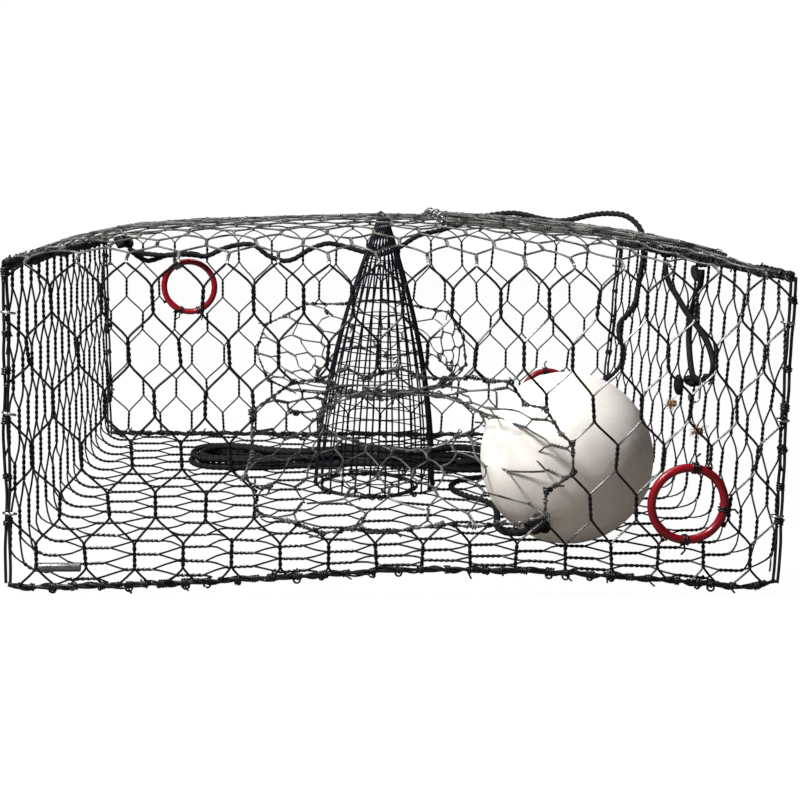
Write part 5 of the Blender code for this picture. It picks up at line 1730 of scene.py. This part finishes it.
    def stubs(self, knots: list[tuple]) -> None:
        """Cut wire ends and tied joints over the sleeve."""
        rng = self.rng
        for _ in range(26):
            u = rng.uniform(0, self.columns)
            start = self.place(np.array([(u, self.length, 0.0)]))[0]
            way = np.array((0.0, -self.side * 0.9, 0.0)) + 0.5 * rng.normal(0, 1, 3)
            self.stub(start, way)
        for n in rng.choice(len(knots), 12, replace=False):
            u, v = knots[n]
            if 0.012 < v < self.length:
                pair = self.place(np.array([(u, v, 0.0), (u, v + 0.001, 0.0)]))
                self.spinner.coil(pair[0], pair[1] - pair[0], 0.0019, WIRE,
                                  rng.uniform(2.0, 4.5), 0.0016, rng.uniform(0, 6))
                self.stub(pair[0], rng.normal(0, 1, 3))


@dataclass
class Funnels:
    """The two funnels."""

    painter: Painter

    def build(self) -> None:
        """Makes both sleeves."""
        for side, name, node in ((-1, "front_sleeve", "front_funnel"),
                                 (1, "back_sleeve", "back_funnel")):
            sleeve = Sleeve(side)
            knots = sleeve.weave()
            sleeve.rim()
            sleeve.edge()
            sleeve.stubs(knots)
            # The funnels' wire carries painted glints: light grey patches
            self.painter.dress(sleeve.spinner.made(name), Finish.FUNNEL, TRAP, node)


@dataclass
class BaitWell:
    """The tube of half inch square mesh, round at the floor and pinched under the top."""

    painter: Painter
    radius: float = 0.0600
    mesh: float = 0.0127
    wire: float = 0.00060
    around: int = 26
    extra: tuple[float, ...] = (
        -0.36, -0.27, -0.18, -0.09, 0.02, 0.11, 0.20, 0.29, math.pi - 0.14, math.pi + 0.12,
    )
    apex: float = 0.285
    flatness: float = 0.80

    def __post_init__(self) -> None:
        """Works out where the tube begins and ends."""
        top = top_height(np.array([-0.002]), np.array([0.0]))[0]
        self.low = FLOOR_Z + WELL_RISE + 0.0012
        self.high = float(top) - 0.0015

    def at(self, angle: Array, z: Array) -> Array:
        """Places on the tube."""
        share = np.clip(z / self.apex, 0, 1)
        half_x = np.maximum(self.radius * (1 - share**1.9), 0.0012)
        half_y = np.sqrt(2 * self.radius**2 - half_x**2)
        half_y = self.radius + (half_y - self.radius) * self.flatness
        x = WELL_X + 0.005 * share + half_x * np.cos(angle)
        y = half_y * np.sin(angle)
        return np.stack([x, y, z], 1)

    def build(self) -> None:
        """Weaves the tube."""
        rng = np.random.default_rng(91)
        around, extra = self.around, self.extra
        spinner = Spinner(4)
        heights = np.linspace(self.low, self.high, 30)
        for n in range(around + len(extra)):
            angle = extra[n - around] if n >= around else 2 * math.pi * n / around
            angle += rng.normal(0, 0.008)
            wave = 0.006 * np.sin(heights * 30 + n)
            thick = self.wire * (1.75 if n >= around else 1.5)
            spinner.wire(self.at(np.full(30, angle) + wave, heights), thick)
        count = int((self.high - self.low) / self.mesh)
        for n in range(count + 1):
            angle = np.linspace(0, 2 * math.pi, 60, endpoint=False)
            z = self.low + 0.001 + n * self.mesh + 0.0007 * np.sin(2 * angle + n)
            z = np.minimum(z, self.high)
            spinner.wire(self.at(angle, z), self.wire, guide=np.array((0.0, 0.0, 1.0)), closed=True)
        self.ties(spinner, rng)
        self.painter.dress(spinner.made("bait_well_mesh"), Finish.FINE_MESH, TRAP, "bait_well")

    def ties(self, spinner: Spinner, rng: np.random.Generator) -> None:
        """Twisted wire ties that hold the tube to the floor and the top."""
        for n in range(14):
            angle = 2 * math.pi * n / 14 + rng.normal(0, 0.1)
            spot = self.at(np.array([angle]), np.array([self.low]))[0]
            spinner.coil(spot, (math.cos(angle), math.sin(angle), 0.2), 0.0022, 0.0007, 2.2, 0.0016)
        for n in range(5):
            y = -0.055 + 0.0275 * n
            spinner.coil(np.array((-0.002, y, self.high)), (0, 1, 0.1), 0.0024, 0.0008, 2.4, 0.0018)


@dataclass(frozen=True)
class Lacing:
    """How an edge is laced: its border wires and what is wound round them."""

    wires: int
    wire: float
    spread: float
    twist: float
    wander: float
    coil_gap: tuple[float, float]
    coil_turns: tuple[float, float]
    coil_radius: float
    pitch: float
    loops: float
    hang: Array


POST = Lacing(2, 0.00125, 0.00190, 4.0, 0.0005, (0.026, 0.052), (2.0, 3.6), 0.0031, 0, 0.04,
              np.array((0.0, -1.0, 0.0)))
FOOT = Lacing(2, 0.00130, 0.00120, 0.045, 0.0008, (0.011, 0.023), (1.6, 3.6), 0.0026, 0.038, 0.42,
              np.array((0.0, -0.3, -1.0)))
RIDGE = Lacing(4, 0.00135, 0.00210, 0.060, 0.0016, (0.007, 0.013), (2.0, 4.4), 0.0037, 0.019, 0.30,
               np.array((0.3, 0.0, 1.0)))


@dataclass
class Edges:
    """The laced edges and the bright rings that close them."""

    painter: Painter

    @staticmethod
    def line(start: tuple[int, int, int], end: tuple[int, int, int]) -> Array:
        """The middle of an edge between two corners of the box."""
        t = np.linspace(0, 1, 60)[:, None]
        a, b = np.array(CORNERS[start]), np.array(CORNERS[end])
        found = a + (b - a) * t
        if start[2] == 0 and end[2] == 0:
            found[:, 2] += 0.0022 + floor_bow(found[:, 0], found[:, 1])
        if start[2] != end[2]:
            found[:, 2] = np.maximum(found[:, 2], -0.001)
        return found

    def laced(self, name: str, node: str, line: Array, lacing: Lacing, seed: int) -> None:
        """An edge: border wires, and a lacing wire wound round them.

        Args:
            name: The piece's name.
            node: The CAD node that it takes the place of.
            line: The edge's middle.
            lacing: How it is laced.
            seed: The seed of its random draws.
        """
        rng = np.random.default_rng(seed)
        spinner = Spinner(6)
        long = length_of(line)
        fine = evenly(line, 0.0026)
        ahead = unit(np.gradient(fine, axis=0))
        across = unit(np.cross(ahead, (0.3, 0.5, 0.81)))
        up = np.cross(ahead, across)
        s = np.linspace(0, long, len(fine))
        wander = np.zeros(len(s))
        for k in range(4):
            wave = np.sin(s * (38 + 47 * k) * rng.uniform(0.8, 1.2) + rng.uniform(0, 6))
            wander += lacing.wander / (k + 1) * wave
        base = fine + wander[:, None] * across

        def wound(turn: Array, reach: float, wire: float) -> None:
            """Adds a wire that winds round the edge."""
            offset = reach * (np.cos(turn)[:, None] * across + np.sin(turn)[:, None] * up)
            spinner.wire(base + offset, wire, guide=across)

        for n in range(lacing.wires):
            turn = 2 * math.pi * s / lacing.twist + 2 * math.pi * n / lacing.wires
            wound(turn + 0.6 * np.sin(s * 70 + n), lacing.spread, lacing.wire)
        place = rng.uniform(*lacing.coil_gap)
        while place < long - 0.005:
            i = min(int(len(fine) * place / long), len(fine) - 1)
            self.tied(spinner, base[i], ahead[i], lacing, rng)
            place += rng.uniform(*lacing.coil_gap)
        if lacing.pitch > 0:
            turn = 2 * math.pi * s / lacing.pitch + 0.7 * np.sin(s * 60 + seed)
            wound(turn, lacing.coil_radius, 0.00085)
        self.painter.dress(spinner.made(name), Finish.SELVAGE, TRAP, node)

    @staticmethod
    def tied(spinner: Spinner, spot: Array, ahead: Array, lacing: Lacing,
             rng: np.random.Generator) -> None:
        """A coil on an edge, at times with a loop or with a cut end.

        Args:
            spinner: Gathers the wires.
            spot: Where it sits.
            ahead: The way that the edge runs there.
            lacing: How the edge is laced.
            rng: Gives the random draws.
        """
        way = ahead + rng.normal(0, 0.15, 3)
        reach = lacing.coil_radius * rng.uniform(0.9, 1.15)
        spinner.coil(spot, way, reach, 0.00090, rng.uniform(*lacing.coil_turns), 0.0019,
                     rng.uniform(0, 6))
        if rng.uniform() < lacing.loops:
            out = unit(lacing.hang + rng.normal(0, 0.35, 3))
            axis = np.cross(out, ahead) + rng.normal(0, 0.3, 3)
            spinner.ring(spot + out * 0.0026, axis, rng.uniform(0.0018, 0.0030), 0.0009, 12,
                         opening=20, start=rng.uniform(0, 360))
        if rng.uniform() < lacing.loops * 0.7:
            out = unit(lacing.hang * rng.choice((-1, 1)) + rng.normal(0, 0.5, 3))
            tip = spot + out * 0.007 + ahead * 0.002
            spinner.wire(np.array([spot, spot + out * 0.004, tip]), 0.0008)

    def build(self) -> None:
        """Makes the eight laced edges and every bright ring."""
        edges = (
            ("front_left_lacing", "front_left_seam", (0, 0, 0), (0, 0, 1)),
            ("front_right_lacing", "front_right_seam", (1, 0, 0), (1, 0, 1)),
            ("back_left_lacing", "back_left_seam", (0, 1, 0), (0, 1, 1)),
            ("back_right_lacing", "back_right_seam", (1, 1, 0), (1, 1, 1)),
            ("bottom_front_lacing", "bottom_front_seam", (0, 0, 0), (1, 0, 0)),
            ("bottom_back_lacing", "bottom_back_seam", (0, 1, 0), (1, 1, 0)),
            ("top_left_lacing", "top_left_seam", (0, 0, 1), (0, 1, 1)),
            ("top_right_lacing", "top_right_seam", (1, 0, 1), (1, 1, 1)),
        )
        for n, (name, node, start, end) in enumerate(edges):
            kind = POST if start[2] != end[2] else FOOT if start[2] == 0 else RIDGE
            self.laced(name, node, self.line(start, end), kind, 101 + n)
        self.corner_rings()
        self.hinge_rings()

    def corner_rings(self) -> None:
        """The rings on the four upright corners."""
        rng = np.random.default_rng(131)
        for depth, j, heights in (("front", 0, (0.056, 0.135, 0.213)), ("back", 1, (0.060, 0.219))):
            for width, i in (("left", 0), ("right", 1)):
                low, high = np.array(CORNERS[(i, j, 0)]), np.array(CORNERS[(i, j, 1)])
                for n, height in enumerate(heights):
                    centre = low + (high - low) * height / SEAM_TOP
                    centre = centre + np.array((0.0014 * (1 - 2 * i), 0.0014 * (1 - 2 * j), 0))
                    spinner = Spinner(8)
                    tilt = np.array((0.10, 0.12, 1.0)) + rng.normal(0, 0.06, 3)
                    spinner.ring(centre, tilt, 0.0049, 0.0010, 22, opening=10,
                                 start=rng.uniform(0, 360))
                    name = f"corner_ring_{depth}_{width}_{n + 1}"
                    node = f"hog_ring_{depth}_{width}_{n + 1}"
                    self.painter.dress(spinner.made(name), Finish.BRIGHT_RING, TRAP, node)

    def hinge_rings(self) -> None:
        """The rings that hinge the two doors."""
        for n in range(3):
            node = f"access_door_ring_{n + 1}"
            low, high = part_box(node)
            y = (low[1] + high[1]) / 2
            x = DOOR_FLAP[0]
            z = float(top_height(np.array([x]), np.array([y]))[0]) + 0.0024
            spinner = Spinner(8)
            spinner.ring(np.array((x, y, z)), (0.05, 1, 0.08), 0.0047, 0.0008, 20, opening=8)
            self.painter.dress(spinner.made(f"door_hinge_ring_{n + 1}"), Finish.ZINC, TRAP, node)
        for n in range(2):
            node = f"bait_door_ring_{n + 1}"
            low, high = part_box(node)
            centre = np.array([(a + b) / 2 for a, b in zip(low, high)])
            centre = boxed(centre[None])[0]
            centre[2] += floor_bow(centre[None, 0], centre[None, 1])[0]
            spinner = Spinner(6)
            spinner.ring(centre, (1, 0.05, 0.05), 0.0040, 0.0007, 18, opening=8)
            name = f"bait_hinge_ring_{n + 1}"
            self.painter.dress(spinner.made(name), Finish.BRIGHT_RING, TRAP, node)


@dataclass
class EscapeRings:
    """The three red rings, with the wires that tie them to the netting."""

    painter: Painter
    outer: float = 0.0665
    tube: float = 0.0035
    places: tuple[tuple, ...] = (
        ("front", (0.2320, -0.2886, 0.0660), (82, 268, 352)),
        ("back_low", (0.2180, 0.2865, 0.0540), (95, 200, 320)),
        ("back_high", (-0.2175, 0.2865, 0.1810), (118, 250, 292)),
    )
    bright_tie: tuple[str, int] = ("back_high", 0)

    def __post_init__(self) -> None:
        """Works out the radius of a ring's middle line."""
        self.middle = self.outer / 2 - self.tube

    def build(self) -> None:
        """Makes each ring and its ties."""
        for name, centre, ties in self.places:
            deselect()
            bpy.ops.mesh.primitive_torus_add(
                location=centre, rotation=(math.pi / 2, 0, 0), major_segments=72, minor_segments=16,
                major_radius=self.middle, minor_radius=self.tube,
            )
            ring = bpy.context.active_object
            ring.name = f"escape_ring_{name}_plastic"
            bpy.ops.object.transform_apply(location=True, rotation=True, scale=True)
            self.swell_join(ring, np.array(centre))
            bpy.ops.object.shade_smooth()
            self.painter.dress(ring, Finish.RED_PLASTIC, TRAP, f"escape_ring_{name}")
            for n, degrees in enumerate(ties):
                self.tie(name, n, np.array(centre), math.radians(degrees))

    def tie(self, name: str, number: int, centre: Array, angle: float) -> None:
        """A wire wound round a ring, which ties it to the net.

        Args:
            name: The ring's name.
            number: Which of its ties it is, from 0.
            centre: The ring's middle.
            angle: Where on the ring it sits.
        """
        out = np.array((math.cos(angle), 0.0, math.sin(angle)))
        along = np.array((-math.sin(angle), 0.0, math.cos(angle)))
        middle = centre + out * self.middle
        heavy = (name, number) == self.bright_tie
        reach, wire, turns = (0.0014, 0.0014, 3.4) if heavy else (0.0009, 0.00085, 2.6)
        spinner = Spinner(6)
        spinner.coil(middle, along, self.tube + reach, wire, turns, 0.0024, number)
        end = np.array([middle + out * 0.0044, middle + out * 0.009 + along * 0.001,
                        middle + out * 0.0125 - along * 0.002])
        spinner.wire(end, 0.00085)
        nodes = (f"escape_clip_{name}_{number + 1}",) if number < 2 else ()
        finish = Finish.ZINC if heavy else Finish.SELVAGE
        self.painter.dress(spinner.made(f"escape_tie_{name}_{number + 1}"), finish, TRAP, *nodes)

    def swell_join(self, ring: bpy.types.Object, centre: Array) -> None:
        """Thickens the ring a little where its ends are welded."""
        join_way, join_reach, swell = (-0.67, 0.0, -0.74), 0.0055, 0.10
        spot = Vector(centre + np.array(join_way) * self.middle)
        for vertex in ring.data.vertices:
            if (vertex.co - spot).length < join_reach:
                middle = vertex.co - Vector(centre)
                middle.y = 0
                middle = middle.normalized() * self.middle + Vector(centre)
                vertex.co += (vertex.co - middle) * swell


@dataclass
class FoamFloat:
    """The foam ball with its bore and its moulding line."""

    painter: Painter
    bore: float = 0.0055
    ridge: float = 0.0007
    ridge_reach: float = 0.0030

    def __post_init__(self) -> None:
        """Takes the ball's middle and the way that its bore runs."""
        self.centre = Vector(FLOAT_CENTRE)
        self.axis = Vector(FLOAT_AXIS).normalized()

    def build(self) -> None:
        """Models the ball and dresses it."""
        deselect()
        turn = self.axis.to_track_quat("Z", "Y")
        bpy.ops.mesh.primitive_uv_sphere_add(
            segments=128, ring_count=96, radius=FLOAT_RADIUS, location=self.centre,
            rotation=turn.to_euler(),
        )
        ball = bpy.context.active_object
        ball.name = "foam_ball"
        bpy.ops.object.transform_apply(location=True, rotation=True, scale=True)
        self.open_bore(ball)
        self.moulding_line(ball)
        self.dimple(ball)
        bpy.ops.object.shade_smooth()
        self.painter.dress(ball, Finish.FOAM, FLOAT, "float")

    def open_bore(self, ball: bpy.types.Object) -> None:
        """Cuts both poles away and joins their rims with the bore."""
        bpy.ops.object.mode_set(mode="EDIT")
        bpy.ops.mesh.select_mode(type="FACE")
        bpy.ops.mesh.select_all(action="DESELECT")
        bpy.ops.object.mode_set(mode="OBJECT")
        for face in ball.data.polygons:
            way = face.center - self.centre
            off = (way - self.axis * way.dot(self.axis)).length
            face.select = off < self.bore * 0.95
        bpy.ops.object.mode_set(mode="EDIT")
        bpy.ops.mesh.delete(type="FACE")
        bpy.ops.mesh.select_mode(type="EDGE")
        bpy.ops.mesh.select_all(action="DESELECT")
        bpy.ops.mesh.select_non_manifold()
        bpy.ops.mesh.bridge_edge_loops()
        bpy.ops.mesh.select_all(action="SELECT")
        bpy.ops.mesh.normals_make_consistent(inside=False)
        bpy.ops.object.mode_set(mode="OBJECT")

    def moulding_line(self, ball: bpy.types.Object) -> None:
        """Raises the low ridge where the two halves of the mould met."""
        for vertex in ball.data.vertices:
            way = vertex.co - self.centre
            height = way.dot(self.axis)
            if way.length > FLOAT_RADIUS * 0.9 and abs(height) < self.ridge_reach:
                rise = self.ridge * (1 - abs(height) / self.ridge_reach)
                vertex.co += way.normalized() * rise

    def dimple(self, ball: bpy.types.Object) -> None:
        """Presses the beads' shallow dimples into the surface."""
        texture = bpy.data.textures.new("bead_dimples", "VORONOI")
        texture.noise_scale = 0.0052
        modifier = ball.modifiers.new("bead_dimples", "DISPLACE")
        modifier.texture = texture
        modifier.texture_coords = "LOCAL"
        modifier.strength = -0.00035
        modifier.mid_level = 0.5
        bpy.context.view_layer.objects.active = ball
        bpy.ops.object.modifier_apply(modifier=modifier.name)


@dataclass
class SmallParts:
    """The jute ties and the zinc bar."""

    painter: Painter
    ties: tuple[tuple[float, ...], ...] = ((0.2985, 0.0105, 0.0945), (0.2985, -0.0850, 0.0850))

    def build(self) -> None:
        """Makes both ties and the bar."""
        rng = np.random.default_rng(141)
        for n, centre in enumerate(self.ties):
            self.tie(n + 1, np.array(centre), rng)
        self.zinc()

    def tie(self, number: int, centre: Array, rng: np.random.Generator) -> None:
        """A knot of jute twine round a wire, with frayed ends.

        Args:
            number: Its number, from 1.
            centre: Its middle.
            rng: Gives the random draws.
        """
        spinner = Spinner(6)
        for lift in (-0.0021, 0.0, 0.0021):
            axis = np.array((0.15, 0.1, 1)) + rng.normal(0, 0.1, 3)
            spinner.ring(centre + np.array((0, 0, lift)), axis, 0.0032, 0.0012, 14)
        for _ in range(26):
            way = unit(rng.normal(0, 1, 3) * np.array((0.8, 1.0, 0.9)) + np.array((-0.5, 0, -0.2)))
            bend = unit(way + rng.normal(0, 0.6, 3))
            start = centre + way * 0.003
            run = rng.uniform(0.003, 0.0075)
            tip = start + way * run * 0.8 + bend * run * 0.4
            spinner.wire(np.array([start, start + way * run * 0.6, tip]), 0.00028)
        for side in (-1, 1):
            way = unit(np.array((-0.8, side * 0.7, -0.3 * side)))
            tip = centre + way * 0.007 + np.array((0, 0, -0.002))
            spinner.wire(np.array([centre, centre + way * 0.004, tip]), 0.0013)
        self.painter.dress(spinner.made(f"jute_knot_{number}", 80), Finish.JUTE, TRAP,
                           f"jute_tie_{number}")

    def zinc(self) -> None:
        """The zinc bar on the floor."""
        low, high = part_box("zinc_anode")
        middle = (low + high) / 2
        deselect()
        bpy.ops.mesh.primitive_cylinder_add(
            vertices=28, radius=(high.z - low.z) / 2, depth=high.x - low.x, location=middle,
            rotation=(0, math.pi / 2, 0),
        )
        bar = bpy.context.active_object
        bar.name = "zinc_bar"
        bpy.ops.object.transform_apply(location=True, rotation=True, scale=True)
        modifier = bar.modifiers.new("soft_edge", "BEVEL")
        modifier.width = 0.0006
        modifier.segments = 2
        modifier.limit_method = "ANGLE"
        bpy.ops.object.modifier_apply(modifier=modifier.name)
        bpy.ops.object.shade_smooth_by_angle(angle=math.radians(40))
        self.painter.dress(bar, Finish.ZINC, TRAP, "zinc_anode")


def main() -> None:
    """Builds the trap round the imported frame."""
    logging.basicConfig(level=logging.INFO, format="%(message)s")
    deselect()
    Studio().build()
    painter = Painter()
    for group in (Cords, SheetOver, SheetUnder, Funnels, BaitWell, Edges, EscapeRings, FoamFloat,
                  SmallParts):
        group(painter).build()


if __name__ == "__main__":
    main()
